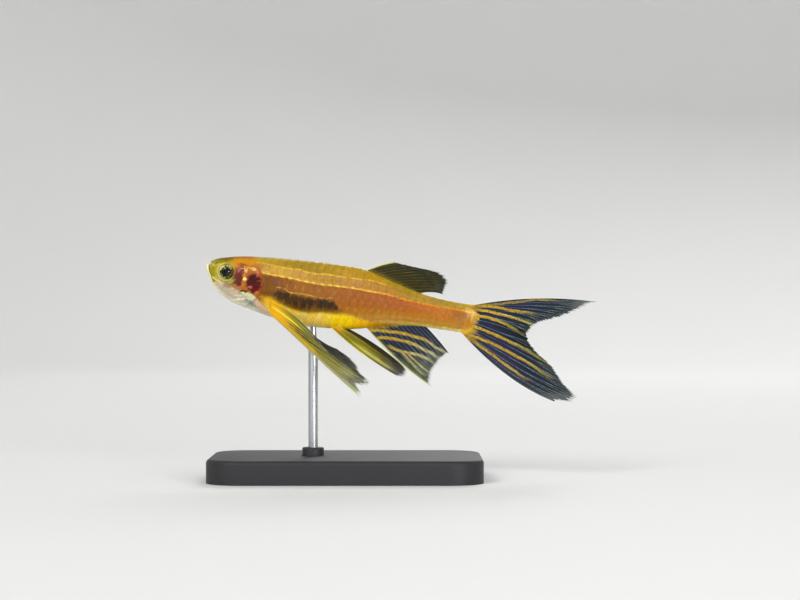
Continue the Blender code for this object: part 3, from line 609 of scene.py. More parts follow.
def flesh(look):
    """(colour, roughness, metallic, bump height) of the fish's markings with its painted highlights and
    shade, the same on its skin and scales.
    """
    place, u, y, v = look.fish_place()
    step, mix, paint = look.step, look.mix, look.paint
    noise, curve, stretched = look.noise, look.curve, look.stretched
    wander = noise(place, 0.9, 3.0) - 0.5
    fine = noise(place, 5.0, 3.0) - 0.5
    top = curve(u, BACK_LINE)
    bottom = curve(u, BELLY_LINE)
    warp = noise(place, 1.8, 3.0, output="Color")
    seen_u = u * SEEN_STRETCH + SEEN_SHIFT
    loose_u = seen_u + (look.part(warp, 0) - 0.5) * 0.9
    loose_v = v + (look.part(warp, 1) - 0.5) * 0.7

    def line(points, width, start, end, breaks):
        """A bright lengthwise line with bumpy edges and a few weak places."""
        off = abs(v - curve(u, points) + fine * 0.3)
        mask = step(off, width, width * 0.35)
        shown = step(u, start - 0.3, start + 0.5) * step(u, end + 1.5, end - 1.0)
        weak = step(noise(stretched(place, (1.6, 0.3, 0.3)), 1.0, 1.0), breaks - 0.1, breaks + 0.06)
        return mask * shown * (weak * 0.75 + 0.25)

    def spot(centre, ru, rv, turn=0.0, soft=0.35, exact=False):
        """A soft oval of the side view."""
        du = (seen_u if exact else loose_u) - centre[0]
        dv = (v if exact else loose_v) - centre[1]
        cosine, sine = math.cos(math.radians(turn)), math.sin(math.radians(turn))
        along = du * (cosine / ru) + dv * (sine / ru)
        across = dv * (cosine / rv) + du * (-sine / rv)
        return step(look.far(along, across), 1 + soft, 1 - soft)

    def painted(colour, ovals):
        for centre, ru, rv, turn, soft, strength, shade in ovals:
            colour = mix(spot(centre, ru, rv, turn, soft) * strength, colour, shade)
        return colour

    second = curve(u, SECOND_LINE)
    first = curve(u, FIRST_LINE)
    loose = wander * 0.5
    above_first = step(v + loose - first, -0.25, 0.3)
    above_second = step(v + loose - second, -0.2, 0.2)

    back = look.ramp(u,
                     ((0.0, YELLOW_GREEN), (5.0, NAPE), (8.5, (188, 153, 66)), (12.2, OLIVE),
                      (16.7, (168, 136, 52)), (21.1, (186, 146, 60)), (24.5, (186, 140, 24)),
                      (28.9, (160, 120, 32)), (33.4, (172, 140, 64)), (37.2, (180, 154, 62)),
                      (41.0, (190, 160, 60))))
    ridge = step(top - v, 0.9, 0.1)
    back = paint(
        back,
        (ridge * 0.45, (196, 170, 44)),
        (step(wander, 0.02, 0.16) * 0.35, (200, 150, 76)),
    )
    between = look.ramp(u,
                        ((7.0, ROSE_TAN), (10.1, (208, 166, 90)), (14.0, (202, 154, 90)),
                         (18.3, (182, 138, 68)), (22.8, (188, 134, 76)), (26.6, (182, 130, 66)),
                         (30.4, (172, 132, 60)), (35.0, (170, 138, 68)), (40.0, (190, 156, 60))))
    blush = step(noise(stretched(place, (0.6, 1.0, 1.2)), 0.8, 2.0), 0.48, 0.66)
    between = mix(blush * 0.4, between, (196, 136, 112))
    below = look.ramp(u,
                      ((8.0, (150, 92, 24)), (11.5, (132, 76, 26)), (14.2, (161, 100, 42)),
                       (17.2, (160, 98, 46)), (20.2, (166, 96, 42)), (23.2, (168, 94, 32)),
                       (26.3, (173, 94, 42)), (29.3, (182, 95, 44)), (32.3, (192, 106, 40)),
                       (35.3, (198, 116, 44)), (38.3, (176, 108, 44)), (41.0, (196, 152, 44))))
    below = mix(blush * 0.35, below, (172, 98, 76))
    colour = mix(above_second, below, mix(above_first, between, back))

    # Rear flank under the second line: amber, then tan, then a pale lower edge
    rear = step(u, 19.0, 23.0)
    height = (v - bottom) / (second - bottom)
    height = height + wander * 0.22
    colour = paint(
        colour,
        (rear * step(height, 0.66, 0.46) * 0.8, (188, 122, 16)),
        (rear * step(height, 0.46, 0.3) * 0.75, (196, 142, 84)),
        (rear * step(height, 0.2, 0.06),
         look.ramp(u,
                   ((20.0, BRIGHT_YELLOW), (25.2, (240, 176, 20)), (27.8, (176, 134, 14)),
                    (31.0, (236, 206, 132)), (41.0, CREAM)))),
        (spot((28.5, -2.75), 2.6, 0.25, 8, 0.5) * 0.6, (226, 182, 140)),
        (spot((25.5, -3.8), 2.6, 0.45, 8, 0.5) * 0.7, (226, 160, 10)),
        (spot((38.8, -0.2), 0.9, 0.5, 30, 0.8) * 0.5, (184, 130, 104)),
        (spot((40.0, 0.5), 0.16, 1.0, 0, 0.7) * 0.5, (250, 196, 96)),
    )
    colour = painted(colour, TAIL_OVALS)

    # Belly: cream and yellow under the dark organs that show through
    front = step(u, 9.0, 10.5) * step(u, 22.5, 19.0)
    under = step(u, 9.0, 10.5) * step(u, 27.0, 24.5)
    belly_top = curve(u, BELLY_TOP)
    belly = step(belly_top - (v + wander * 0.6), -0.25, 0.45)
    bars = step(noise(stretched(place, (2.2, 0.4, 0.35)), 1.0, 1.0), 0.45, 0.62)
    cream = mix(bars * 0.5, CREAM_YELLOW, (255, 226, 160))
    cream = paint(
        cream,
        (step(loose_u, 17.8, 20.6), (255, 214, 6)),
        (step(loose_u, 21.8, 24.2), (246, 184, 12)),
        (step(v - bottom, 0.6, 0.1) * step(u, 19.5, 18.0), CREAM),
    )
    olive = front * step(belly_top - v, -1.3, 0.3)
    colour = paint(
        colour,
        (olive * 0.9, (136, 118, 14)),
        (under * belly, cream),
    )
    organ_top, organ_bottom = curve(u, ORGAN_TOP), curve(u, ORGAN_BOTTOM)
    ragged = loose_v + fine * 0.3
    organ = (step(ragged - organ_bottom, -0.4, 0.65) * step(organ_top - ragged, -0.3, 0.4)
             * step(loose_u, 9.8, 11.2) * step(loose_u, 22.0, 20.8))
    smudge = step(noise(stretched(place, (1.3, 0.5, 0.5)), 1.0, 2.0), 0.42, 0.68)
    dark = mix(smudge, (46, 24, 0), (76, 44, 2))
    dark = mix(spot((18.3, -1.95), 0.9, 0.32, 0, 0.6) * 0.85, dark, ORGAN_BLUE)
    halo = spot((14.5, -2.5), 5.6, 1.3, 0, 0.35) * 0.5
    colour = paint(
        colour,
        (halo * (1.0 - front * belly), (150, 100, 22)),
        (organ * 0.96, dark),
    )

    # Head
    behind = u - curve(v, sorted((pv, pu) for pu, pv in GILL_EDGE))
    low = step(v, 1.5, 0.6)
    head = mix(low, step(behind, 1.0, -0.8), step(behind, 0.35, -0.15))
    head = look.part(head, 0)
    face = mix(step(u, 1.6, 2.6), YELLOW_GREEN, (188, 168, 76))
    face = mix(step(u, 3.9, 5.0), face, (172, 98, 34))
    colour = mix(head, colour, face)
    colour = painted(colour, HEAD_OVALS)
    gill = spot((7.56, -1.12), 1.12, 1.45, 8, 0.16)
    fan = look.vector(look.math("ARCTAN2", loose_v + 2.3, loose_u - 6.0))
    streaks = noise(fan, 9.0, 2.0)
    red = mix(step(streaks, 0.46, 0.7), (70, 0, 4), (116, 4, 22))
    red = paint(
        red,
        (step(v, -1.3, -2.4) * 0.6, (108, 2, 34)),
        (spot((7.15, -0.8), 0.6, 0.6, 0, 0.6) * 0.7, (62, 0, 2)),
    )
    colour = mix(gill, colour, red)
    edge = curve(u, THROAT_LINE)
    loose_edge = edge - (v + wander * 0.45)
    jaw = step(u, 2.3, 1.7)
    throat = mix(jaw, step(loose_edge, -0.2, 0.3), step(edge - v, -0.06, 0.12))
    throat = look.part(throat, 0) * step(u, 12.0, 10.6)
    chin = mix(blush * 0.6, THROAT, (188, 168, 150))
    chin = paint(
        chin,
        (step(v - bottom, 0.9, 0.1), (240, 232, 228)),
        (jaw * 0.85, (236, 228, 196)),
    )
    colour = mix(throat, colour, chin)
    colour = painted(colour, CHIN_OVALS)
    colour = painted(colour, GLINT_AND_SPECK_OVALS)
    glints = step(noise(place, 3.6, 2.0), 0.57, 0.68)
    cheeks, gill_front = spot((6.4, 0.75), 1.1, 0.4), spot((5.95, -0.9), 0.25, 1.6)
    chins = (spot((7.6, -2.9), 1.2, 0.5) * 0.8, spot((4.9, -2.4), 0.9, 0.4) * 0.7)
    sparkle = glints * look.most(cheeks, gill_front, *chins)
    colour = mix(sparkle * 0.65, colour, (252, 226, 186))
    # Painted shade in the mouth's groove and, below, in the nostril pits
    mouth_off = abs(u - curve(v, sorted((pv, pu) for pu, pv in MOUTH_LINE)))
    mouth = step(mouth_off, 0.1, 0.02) * step(v, -1.9, -1.2) * step(u, 1.7, 1.4)
    colour = mix(mouth * 0.4, colour, (96, 84, 24))
    for nostril in NOSTRILS:
        colour = mix(spot(nostril, 0.1, 0.1, 0, 0.6, True) * 0.6, colour, (92, 74, 20))
    from_eye_u, from_eye_v = u - EYE_CENTRE[0], v - EYE_CENTRE[1]
    from_eye = look.far(from_eye_u, from_eye_v)
    # A pale ring round the eye on its front side, partly its own colour and partly painted highlight, flecked
    # brighter by the glint mask
    rim = step(abs(from_eye - 1.28), 0.14, 0.03)
    pale = step(from_eye_u * 0.75 + from_eye_v * 0.3, 0.5, -0.3)
    colour = mix(rim * pale * (0.35 + glints * 0.6), colour, (208, 212, 150))
    # Painted shade in the groove under the eye
    crease_shade = (step(abs(from_eye - 1.5), 0.09, 0.02)
              * step(from_eye_v + from_eye_u * 0.4, -0.5, -1.0))
    colour = paint(
        colour,
        (crease_shade * 0.55, (84, 84, 50)),
        # painted shade: the skin sinking into the eye socket is made near black
        (step(from_eye, 1.14, 1.08), (24, 20, 14)),
    )

    # Bright lines and the small dark specks over the back
    lines = look.most(line(FIRST_LINE, 0.15, 7.4, 26.6, 0.42), line(SECOND_LINE, 0.19, 8.3, 40.5, 0.4),
                      line(THIRD_LINE, 0.12, 10.9, 18.8, 0.48) * 0.7)
    bright = mix(step(u - v * 2.0, 20.0, 27.0), GOLD_LINE, ORANGE_LINE)
    colour = mix(lines * 0.95, colour, bright)
    scattered = look.node("TexVoronoi")
    look.put(scattered.inputs["Vector"], stretched(place, (1.0, 1.0, 1.5)))
    look.put(scattered.inputs["Scale"], 3.2)
    distance, chance = (Value(look, scattered.outputs[key]) for key in ("Distance", "Color"))
    specks = (step(distance, 0.17, 0.05) * step(look.part(chance, 0), 0.5, 0.56)
              * step(v - second, 0.0, 1.2) * step(u, 5.0, 9.0))
    colour = mix(specks * 0.6, colour, (84, 66, 26))
    fibres = noise(stretched(place, (2.4, 0.5, 0.6)), 1.0, 2.0) - 0.5
    mottle = 1.0 + (fine * 0.45 + (wander * 0.35 + fibres * 0.3))
    grey = look.made("CombineColor", 0, {0: mottle, 1: mottle, 2: mottle})
    colour = mix(1.0, colour, grey, "MULTIPLY")
    deep = 1.0 - look.most(throat * 0.6, under * belly * 0.4)
    colour = mix(deep, colour, DEEPEN, "MULTIPLY")
    roughness = 0.3 + fine * 0.25
    shine = look.most(lines * 0.2, throat * 0.15, sparkle * 0.3)
    return colour, roughness, shine, fine * 0.6 + wander


def flesh_material(name, is_scale):
    look = Look(name)
    colour, roughness, shine, height = flesh(look)
    if is_scale:
        rim, seed = look.attribute("rim"), look.attribute("seed")
        edge = look.step(rim, 0.7, 0.98)
        colour = look.mix(edge * 0.1, colour, (120, 84, 36))
        glow = look.step(rim, 0.75, 0.2) * seed * 0.07
        colour = look.mix(glow, colour, (255, 236, 170))
        rings = look.math("SINE", rim * 52.0)
        height = height + rings * 0.25
    look.set(Base_Color=colour, Roughness=roughness, Metallic=shine, Subsurface_Weight=0.12,
             Coat_Weight=0.06 if is_scale else 0.12, Coat_Roughness=0.12, IOR=1.4, Specular_IOR_Level=0.2)
    look.shader.inputs["Subsurface Radius"].default_value = (1.0, 0.45, 0.2)
    look.shader.inputs["Subsurface Scale"].default_value = 0.0008
    look.bump(height, 0.00002)
    return look.material


def fin_material(name, sheet, rays, root_reach, cover, stripes=(), stripe_tones=(), lead=None, patches=(),
                 lead_width=0.05):
    """A thin ribbed membrane. Sheet and rays hold the colours of root, middle and tip.

    Cover says how much the sheet hides, how much more the rays do, and how much is lost towards the tip.
    Stripes are bands in the side view. Patches are soft ovals, and their places run from 0 to 1 across the
    rays and along them.
    """
    look = Look(name)
    place, u, y, v = look.fish_place()
    step, mix, noise, curve = look.step, look.mix, look.noise, look.curve
    reach, ridge, side = (look.attribute(key) for key in ("reach", "ridge", "side"))
    wander = noise(place, 1.1, 3.0) - 0.5
    fine = noise(place, 7.0, 2.0) - 0.5
    outer = step(reach + wander * 0.25, 0.4, 0.95)
    ray_by_ray = look.vector(side * 9.0, reach * 1.5)
    fingers = noise(ray_by_ray, 1.0, 2.0) - 0.5
    flow = reach + (wander * 0.12 + fingers * (root_reach[1] * 0.6))
    flushed = step(flow, root_reach[1], root_reach[0])
    between, along = (
        mix(flushed, mix(outer, middle, tip), root) for root, middle, tip in (sheet, rays)
    )

    def patch(centre, half_across, half_along, strength):
        across = (side + wander * 0.06 - centre[0]) / half_across
        onward = (reach + wander * 0.1 - centre[1]) / half_along
        return step(look.far(across, onward), 1.4, 0.6) * strength

    for centre, half_across, half_along, strength, shade in patches:
        mask = patch(centre, half_across, half_along, strength)
        between = mix(mask, between, shade)
        along = mix(mask * 0.4, along, shade)
    hidden = cover[0] + ridge * cover[1]
    hidden = hidden + flushed * (0.94 - cover[0])
    hidden = hidden - step(reach, 0.6, 1.0) * cover[2]
    band = None
    for points, width, strength in stripes:
        left, right = points[0][0], points[-1][0]
        off = abs(v - curve(u, points) + wander * 0.4)
        mask = (step(off, width, width * 0.4) * step(u, left - 0.5, left + 0.6)
                * step(u, right + 1.6, right - 1.6) * strength)
        band = mask if band is None else look.most(band, mask)
    if band is not None:
        yellow = mix(step(reach, 0.25, 0.9), *stripe_tones)
        shown = band * (0.85 + fine * 0.9)
        specks = 0.15 + step(fine, 0.12, -0.12) * 0.6
        between = mix(shown, between, mix(specks, yellow, (112, 84, 6)))
        along = mix(shown, along, mix(0.4, yellow, (255, 238, 170)))
        hidden = look.most(hidden, band * 0.92)
    joints = step(look.math("SINE", reach * JOINT_PACE), 0.6, 0.95)
    worn = step(noise(ray_by_ray, 5.0, 1.0) + fine * 0.4, 0.3, 0.62)
    fine_ray = step(ridge, 0.4, 1.0) * (0.35 + worn * 0.65)
    along = mix(joints * 0.6, along, between)
    colour = mix(fine_ray, between, along)
    if lead:
        leading = step(side, lead_width, lead_width * 0.4) * step(reach, 0.02, 0.3) * 0.85
        colour = mix(leading, colour, lead)
    hidden = look.math("ADD", hidden, fine * 0.12, clamp=True)
    look.set(Base_Color=colour, Alpha=hidden, Roughness=0.36, Coat_Weight=0.05, Coat_Roughness=0.15,
             IOR=1.4, Specular_IOR_Level=0.24)
    look.bump(ridge + fine * 0.3, 0.00002)
    return look.material


def eye_material():
    look = Look("iris")
    place, u, y, v = look.fish_place()
    du, dv = u - EYE_CENTRE[0], v - EYE_CENTRE[1]
    radius = look.far(du, dv)
    turn = look.math("ARCTAN2", dv, du)
    spokes = look.vector(look.math("SINE", turn) * 2.2, look.math("COSINE", turn) * 2.2, radius * 0.8)
    fleck = look.noise(spokes, 2.6, 4.0, 0.65)
    leftward, upward = du / (radius * -1.0), dv / radius
    top = look.step(upward + leftward * 0.3, 0.1, 0.8)
    left = look.step(leftward - upward * 0.35, -0.1, 0.7)
    dull = look.step(leftward, -0.4, -0.85)
    gold = look.step(fleck + top * 0.14, 0.54, 0.63)
    colour = look.mix(gold, (12, 9, 6), (158, 150, 52))
    colour = look.mix(dull * (1.0 - gold), colour, (52, 30, 26))
    outer = look.step(radius, 0.86, 0.98) * look.most(left * 0.95, top * gold, 0.12)
    colour = look.mix(outer, colour, (192, 194, 142))
    ring = look.step(abs(radius - 0.73), 0.06, 0.02)
    colour = look.paint(
        colour,
        (ring * look.step(fleck, 0.4, 0.54), (204, 184, 92)),
        (look.step(radius, 0.69, 0.66), (3, 2, 2)),
    )
    look.set(Base_Color=colour, Roughness=0.22, Metallic=look.step(radius, 0.67, 0.73) * 0.5,
             Coat_Weight=0.0, IOR=1.2)
    look.bump(fleck, 0.00004)
    return look.material


def cornea_material():
    look = Look("cornea")
    place = look.fish_place()[0]
    look.set(Base_Color=(250, 252, 252), Transmission_Weight=1.0, IOR=1.16)
    look.put(look.shader.inputs["Roughness"], look.noise(place, 2.0) * 0.03)
    return look.material


def lacquer():
    look = Look("stand_lacquer")
    place = look.fish_place()[0]
    speckle = look.noise(place, 9.0, 4.0)
    look.set(Base_Color=look.mix(speckle, (30, 30, 33), (40, 40, 43)), Roughness=0.46 + speckle * 0.16,
             Specular_IOR_Level=0.3)
    look.bump(speckle, 0.00001)
    return look.material


def brushed_steel():
    look = Look("rod_steel")
    place = look.fish_place()[0]
    grain = look.noise(look.stretched(place, (0.3, 6.0, 6.0)), 3.0, 3.0)
    look.set(Base_Color=look.mix(grain, (150, 152, 156), (196, 198, 202)), Metallic=1.0,
             Roughness=0.2 + grain * 0.2)
    look.bump(grain, 0.000006)
    return look.material


def floor_material():
    look = Look("pale_floor")
    where = Value(look, look.node("TexCoord").outputs["Object"])
    cloud = look.noise(where, 6.0, 3.0)
    look.set(Base_Color=look.mix(cloud, (214, 214, 212), (219, 219, 218)), Roughness=0.75)
    return look.material


# The fish


def finish_piece(obj, look, slot, *nodes):
    obj.data.materials.append(look)
    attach(obj, "root")
    if nodes:
        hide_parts(*nodes)
    return obj


def add_skin():
    """The whole fish's skin in one sheet, with the head's folds, and closed at both ends."""
    head_end, head_step, body_step, around = 9.8, 0.046, 0.15, 196
    stations = np.concatenate([
        0.02 * (head_step / 0.02) ** np.linspace(0, 1, 6)[:-1],
        np.arange(head_step, head_end, head_step),
        np.arange(head_end, SKIN_END, body_step),
        [SKIN_END],
    ])
    angles = np.linspace(0, 2 * math.pi, around, endpoint=False)
    u, angle = np.meshgrid(stations, angles, indexing="ij")
    places = skin_place(u, angle)
    flat = places.reshape(-1, 3)
    ends = np.array([flat[:around].mean(axis=0) - (0.01, 0, 0), flat[-around:].mean(axis=0)])
    flat = np.concatenate([flat, ends])
    nose, tail = len(flat) - 2, len(flat) - 1
    last = (len(stations) - 1) * around
    faces = grid_faces(len(stations), around, wrap=True).tolist()
    faces += [(nose, (k + 1) % around, k) for k in range(around)]
    faces += [(tail, last + k, last + (k + 1) % around) for k in range(around)]
    skin = mesh_object("skin", to_frame(flat[:, 0], flat[:, 1], flat[:, 2]), faces)
    mesh = skin.data
    bm = bmesh.new()
    bm.from_mesh(mesh)
    bmesh.ops.recalc_face_normals(bm, faces=bm.faces)
    layer = bm.loops.layers.uv.new("OFBake")
    count = len(stations)
    for face in bm.faces:
        columns = [vert.index % around for vert in face.verts if vert.index < count * around]
        wraps = max(columns) - min(columns) > around / 2
        middle = sum(columns) / len(columns)
        for loop in face.loops:
            index = loop.vert.index
            if index >= count * around:
                row, column = (0, middle) if index == nose else (count - 1, middle)
            else:
                row, column = divmod(index, around)
                if wraps and column < around / 2:
                    column += around
            loop[layer].uv = (0.01 + 0.98 * row / (count - 1), 0.01 + 0.97 * column / around)
    bm.to_mesh(mesh)
    bm.free()
    return skin


def scale_arcs():
    """A reader of the angle at which a share of the way from back to belly lies, for any u."""
    stations = np.linspace(5.0, SKIN_END, 120)
    angles = np.linspace(0, math.pi, 240)
    shares = np.linspace(0, 1, 121)
    table = []
    for u in stations:
        y, v = section(np.full_like(angles, u), angles)
        run = np.concatenate([[0], np.cumsum(np.hypot(np.diff(y), np.diff(v)))])
        table.append(np.interp(shares, run / run[-1], angles))
    table = np.array(table)

    def read(u, share):
        share = np.clip(share, 0, 1)
        row = np.clip((u - stations[0]) / (stations[1] - stations[0]), 0, len(stations) - 1.001)
        column = np.clip(share * (len(shares) - 1), 0, len(shares) - 1.001)
        i, j = row.astype(int), column.astype(int)
        a, b = row - i, column - j
        return (table[i, j] * (1 - a) * (1 - b) + table[i + 1, j] * a * (1 - b)
                + table[i, j + 1] * (1 - a) * b + table[i + 1, j + 1] * a * b)

    return read


def add_scales(side, seed):
    """Overlapping scale plates over one side: each roots in the skin and ends in a free, rounded edge."""
    chance = np.random.default_rng(seed)
    angle_at = scale_arcs()
    roots = []
    for row in range(SCALE_ROWS):
        share = (row + 0.5) / SCALE_ROWS
        near_gill = np.array([8.0])
        height = section(near_gill, angle_at(near_gill, np.array([share])))[1][0]
        start = float(gill_at(height)) - 0.25
        count = int((SKIN_END - 1.0 - start) / SCALE_PITCH)
        for n in range(count):
            roots.append((start + (n + 0.5 * (row % 2)) * SCALE_PITCH, share))
    roots = np.array(roots)
    spokes = np.linspace(0, 2 * math.pi, SCALE_SPOKES, endpoint=False)
    ring, spoke = np.meshgrid(SCALE_RINGS, spokes, indexing="ij")
    along = np.concatenate([[0.0], (ring * np.cos(spoke)).ravel()])
    across = np.concatenate([[0.0], (ring * np.sin(spoke)).ravel()])
    from_centre = np.concatenate([[0.0], ring.ravel()])
    across = across * (1 - 0.12 * np.clip(along, 0, 1))
    top_count = len(along)
    inner = np.arange(top_count - SCALE_SPOKES)
    shrink = 1 - 0.3 * smooth_step(roots[:, :1], 35.0, 40.0)
    jitter = chance.normal(0, 0.02, (len(roots), 2))
    u = roots[:, :1] + jitter[:, :1] + along * SCALE_PITCH * SCALE_LENGTH * shrink
    share = roots[:, 1:] + across * SCALE_HEIGHT / SCALE_ROWS * (1 + jitter[:, 1:])
    over = share < 0
    under = share > 1
    share = np.where(over, -share, np.where(under, 2 - share, share))
    angle = angle_at(u, share)
    angle = np.where(over | under, -angle, angle)
    u = np.minimum(u, SKIN_END)
    tilt = -0.055 + 0.04 * (along + 1) + 0.006 * (1 - from_centre**2)
    bare = bare_place(u, angle)
    normal = bare_normal(u, angle)
    upper = bare + normal * (-BODY_DEPTH + tilt)[..., None]
    lower = bare + normal * (-BODY_DEPTH + tilt - 0.03 * (1 - from_centre**4))[..., None]
    lower = lower[:, inner]
    block = np.concatenate([upper, lower], axis=1)
    per = block.shape[1]

    def disc(ring_index):
        faces = []
        for k in range(SCALE_SPOKES):
            faces.append((0, ring_index(0, k), ring_index(0, k + 1)))
        for r in range(len(SCALE_RINGS) - 1):
            for k in range(SCALE_SPOKES):
                faces.append((ring_index(r, k), ring_index(r + 1, k), ring_index(r + 1, k + 1)))
                faces.append((ring_index(r, k), ring_index(r + 1, k + 1), ring_index(r, k + 1)))
        return faces

    def upper_index(r, k):
        return 1 + r * SCALE_SPOKES + k % SCALE_SPOKES

    def lower_index(r, k):
        if r == len(SCALE_RINGS) - 1:
            return upper_index(r, k)
        return top_count + 1 + r * SCALE_SPOKES + k % SCALE_SPOKES

    upper_faces = disc(upper_index)
    lower_faces = [(a if a else top_count, c, b) for a, b, c in disc(lower_index)]
    pattern = np.array(upper_faces + lower_faces)
    faces = (pattern[None] + per * np.arange(len(roots))[:, None, None]).reshape(-1, 3)
    if side > 0:
        faces = faces[:, ::-1]
    block = block.reshape(-1, 3)
    scales = mesh_object(f"scales_{'left' if side < 0 else 'right'}",
                         to_frame(block[:, 0], side * block[:, 1], block[:, 2]), faces)
    rim = np.concatenate([from_centre, from_centre[inner]])
    give_attribute(scales, "rim", np.tile(rim, len(roots)))
    give_attribute(scales, "seed", np.repeat(chance.random(len(roots)), per))
    spread = np.stack([np.concatenate([part, part[inner]]) for part in (along, across)], axis=-1)
    around = roots[:, 1] * 0.5 if side > 0 else 1 - roots[:, 1] * 0.5
    centres = np.stack([0.02 + 0.95 * roots[:, 0] / SKIN_END, 0.02 + 0.95 * around], axis=-1)
    give_unwrap(scales, (centres[:, None] + spread[None] * SCALE_PATCH / 2).reshape(-1, 2))
    return scales


def fin_places(keys, lateral, s, t):
    """Places (..., 3) of the fin as (u, y, v): s runs across its key rays and t along them."""
    table = np.array(keys, float)
    index = np.arange(len(keys))

    def read(k, axis):
        return curve_through(np.stack([index, table[:, k, axis]], axis=-1), s * (len(keys) - 1))

    root, half, tip = (np.stack([read(k, 0), read(k, 1)], axis=-1) for k in range(3))
    pull = 2 * half - (root + tip) / 2
    t = t[..., None]
    side_view = root * (1 - t) ** 2 + 2 * t * (1 - t) * pull + tip * t * t
    return np.stack([side_view[..., 0], lateral(s, t[..., 0]), side_view[..., 1]], axis=-1)


def add_fin(name, keys, rays, lateral, seed, ripple=0.1):
    """A thin membrane with forked, jointed rays as ridges in its surface and a slightly ragged margin."""
    chance = np.random.default_rng(seed)
    columns = (rays - 1) * COLUMNS_PER_RAY + 1
    s, t = np.meshgrid(np.linspace(0, 1, columns), np.linspace(0, 1, FIN_ROWS), indexing="ij")
    place = s * (rays - 1)
    nearest = np.round(place)
    off = place - nearest
    fork_start = 0.42 + 0.1 * chance.random(rays)[nearest.astype(int)]
    whole = (nearest == 0) | (nearest == rays - 1)
    fork = np.where(whole, 0.0, 0.26 * smooth_step(t, fork_start, 1.0))
    twig = np.where(whole, 0.0, 0.11 * smooth_step(t, 0.74, 1.0))
    width = 0.09 - 0.03 * t
    ridge = np.zeros_like(s)
    for first in (-1, 1):
        for second in (-1, 1):
            ridge = np.maximum(ridge, bell(off - first * fork - second * twig, width))
    nicks = chance.random(columns // 4 + 2) * 0.03
    ragged = np.interp(np.arange(columns) / 4, np.arange(len(nicks)), nicks)
    inside = smooth_step(np.minimum(s[:, 0], 1 - s[:, 0]) * (rays - 1), 0.0, 0.6)
    torn = (FRINGE * (1 - ridge[:, -1]) + ragged) * inside
    reach = t * (1 - torn)[:, None]
    middle = fin_places(keys, lateral, s, reach)
    wave = ripple * t * np.sin(2 * math.pi * (1.4 * s + 0.9 * t) + seed)
    wave = wave + 0.03 * np.cos(2 * math.pi * off) * t
    along = np.gradient(middle, axis=1)
    across = np.gradient(middle, axis=0)
    normal = np.cross(along, across)
    normal /= np.maximum(np.linalg.norm(normal, axis=-1, keepdims=True), 1e-9)
    middle = middle + normal * wave[..., None]
    joint = 1 + 0.12 * np.sin(JOINT_PACE * reach)
    thick = MEMBRANE * (1 - 0.5 * t) + RAY_HEIGHT * ridge * (1 - 0.72 * t) * joint
    thick += (ROOT_THICKNESS - MEMBRANE) * smooth_step(t, 0.22, 0.0)
    edge = smooth_step(np.minimum(s, 1 - s) * (rays - 1), 0.0, 0.12) * 0.7 + 0.3
    margin = smooth_step(1 - t, 0.0, 0.02) * 0.6 + 0.4
    half = (thick / 2 * edge * margin)[..., None] * normal
    count = columns * FIN_ROWS
    sheets = np.concatenate([(middle + half).reshape(-1, 3), (middle - half).reshape(-1, 3)])
    front = grid_faces(columns, FIN_ROWS)
    back = grid_faces(columns, FIN_ROWS, start=count)[:, ::-1]
    grid = np.arange(count).reshape(columns, FIN_ROWS)
    loop = np.concatenate([grid[:, 0], grid[-1, 1:], grid[-2::-1, -1], grid[0, -2:0:-1]])
    following = np.roll(loop, -1)
    rim = np.stack([following, loop, loop + count, following + count], axis=-1)
    faces = np.concatenate([front, back, rim[:, ::-1]])
    fin = mesh_object(name, to_frame(sheets[:, 0], sheets[:, 1], sheets[:, 2]), faces.tolist())
    give_attribute(fin, "reach", np.tile(reach.ravel(), 2))
    give_attribute(fin, "ridge", np.tile(ridge.ravel(), 2))
    give_attribute(fin, "side", np.tile(s.ravel(), 2))
    return fin


def median_sway(amount, turns=0.5):
    return lambda s, t: amount * t * t * np.sin(math.pi * (turns * t + s))


def paired_splay(side, root, tip, lean):
    def lateral(s, t):
        leaning = lean * (s - 0.5) * np.sin(math.pi * (0.1 + 0.9 * t))
        return side * (root + (tip - root) * t * (2 - t) + leaning)

    return lateral


TAIL_BANDS = (
    (((41.5, 2.48), (43.66, 3.06), (46.48, 3.94), (49.31, 4.81), (51.5, 5.1)), 0.22, 0.6),
    (((40.5, 2.1), (43.04, 2.41), (46.03, 2.49), (48.5, 2.62)), 0.26, 1.0),
    (((40.2, 1.61), (42.45, 1.62), (45.48, 1.48), (49.8, 0.86)), 0.26, 1.0),
    (((40.2, 0.75), (43.41, 0.61), (46.09, -0.05), (47.8, -0.7)), 0.28, 1.0),
    (((40.2, -0.93), (43.06, -1.41), (46.21, -2.12), (49.07, -2.9), (52.4, -4.3)), 0.28, 1.0),
    (((40.2, -2.3), (43.36, -2.85), (46.53, -3.71), (50.2, -4.9), (52.6, -6.0)), 0.28, 0.95),
    (((40.6, -3.0), (43.68, -4.34), (46.97, -5.87), (49.4, -7.0)), 0.32, 0.75),
)
ANAL_BANDS = (
    (((25.2, -4.9), (29.35, -4.11), (32.8, -4.2), (35.57, -5.05), (37.5, -5.7)), 0.31, 1.0),
    (((26.7, -5.75), (28.21, -5.2), (31.22, -5.16), (34.36, -5.87), (36.8, -6.7)), 0.32, 1.0),
    (((28.8, -6.3), (29.69, -6.5), (30.93, -6.72), (32.86, -6.7), (35.55, -7.35)), 0.3, 1.0),
    (((30.6, -6.7), (31.5, -7.25), (33.59, -8.73), (34.6, -9.3)), 0.27, 0.85),
    (((31.7, -6.85), (32.8, -7.5), (34.25, -8.3), (35.4, -8.9)), 0.25, 0.8),
    (((25.2, -4.45), (26.7, -5.6), (29.2, -7.2)), 0.24, 0.9),
)
INK, CREAM_EDGE = (20, 25, 42), (214, 208, 158)


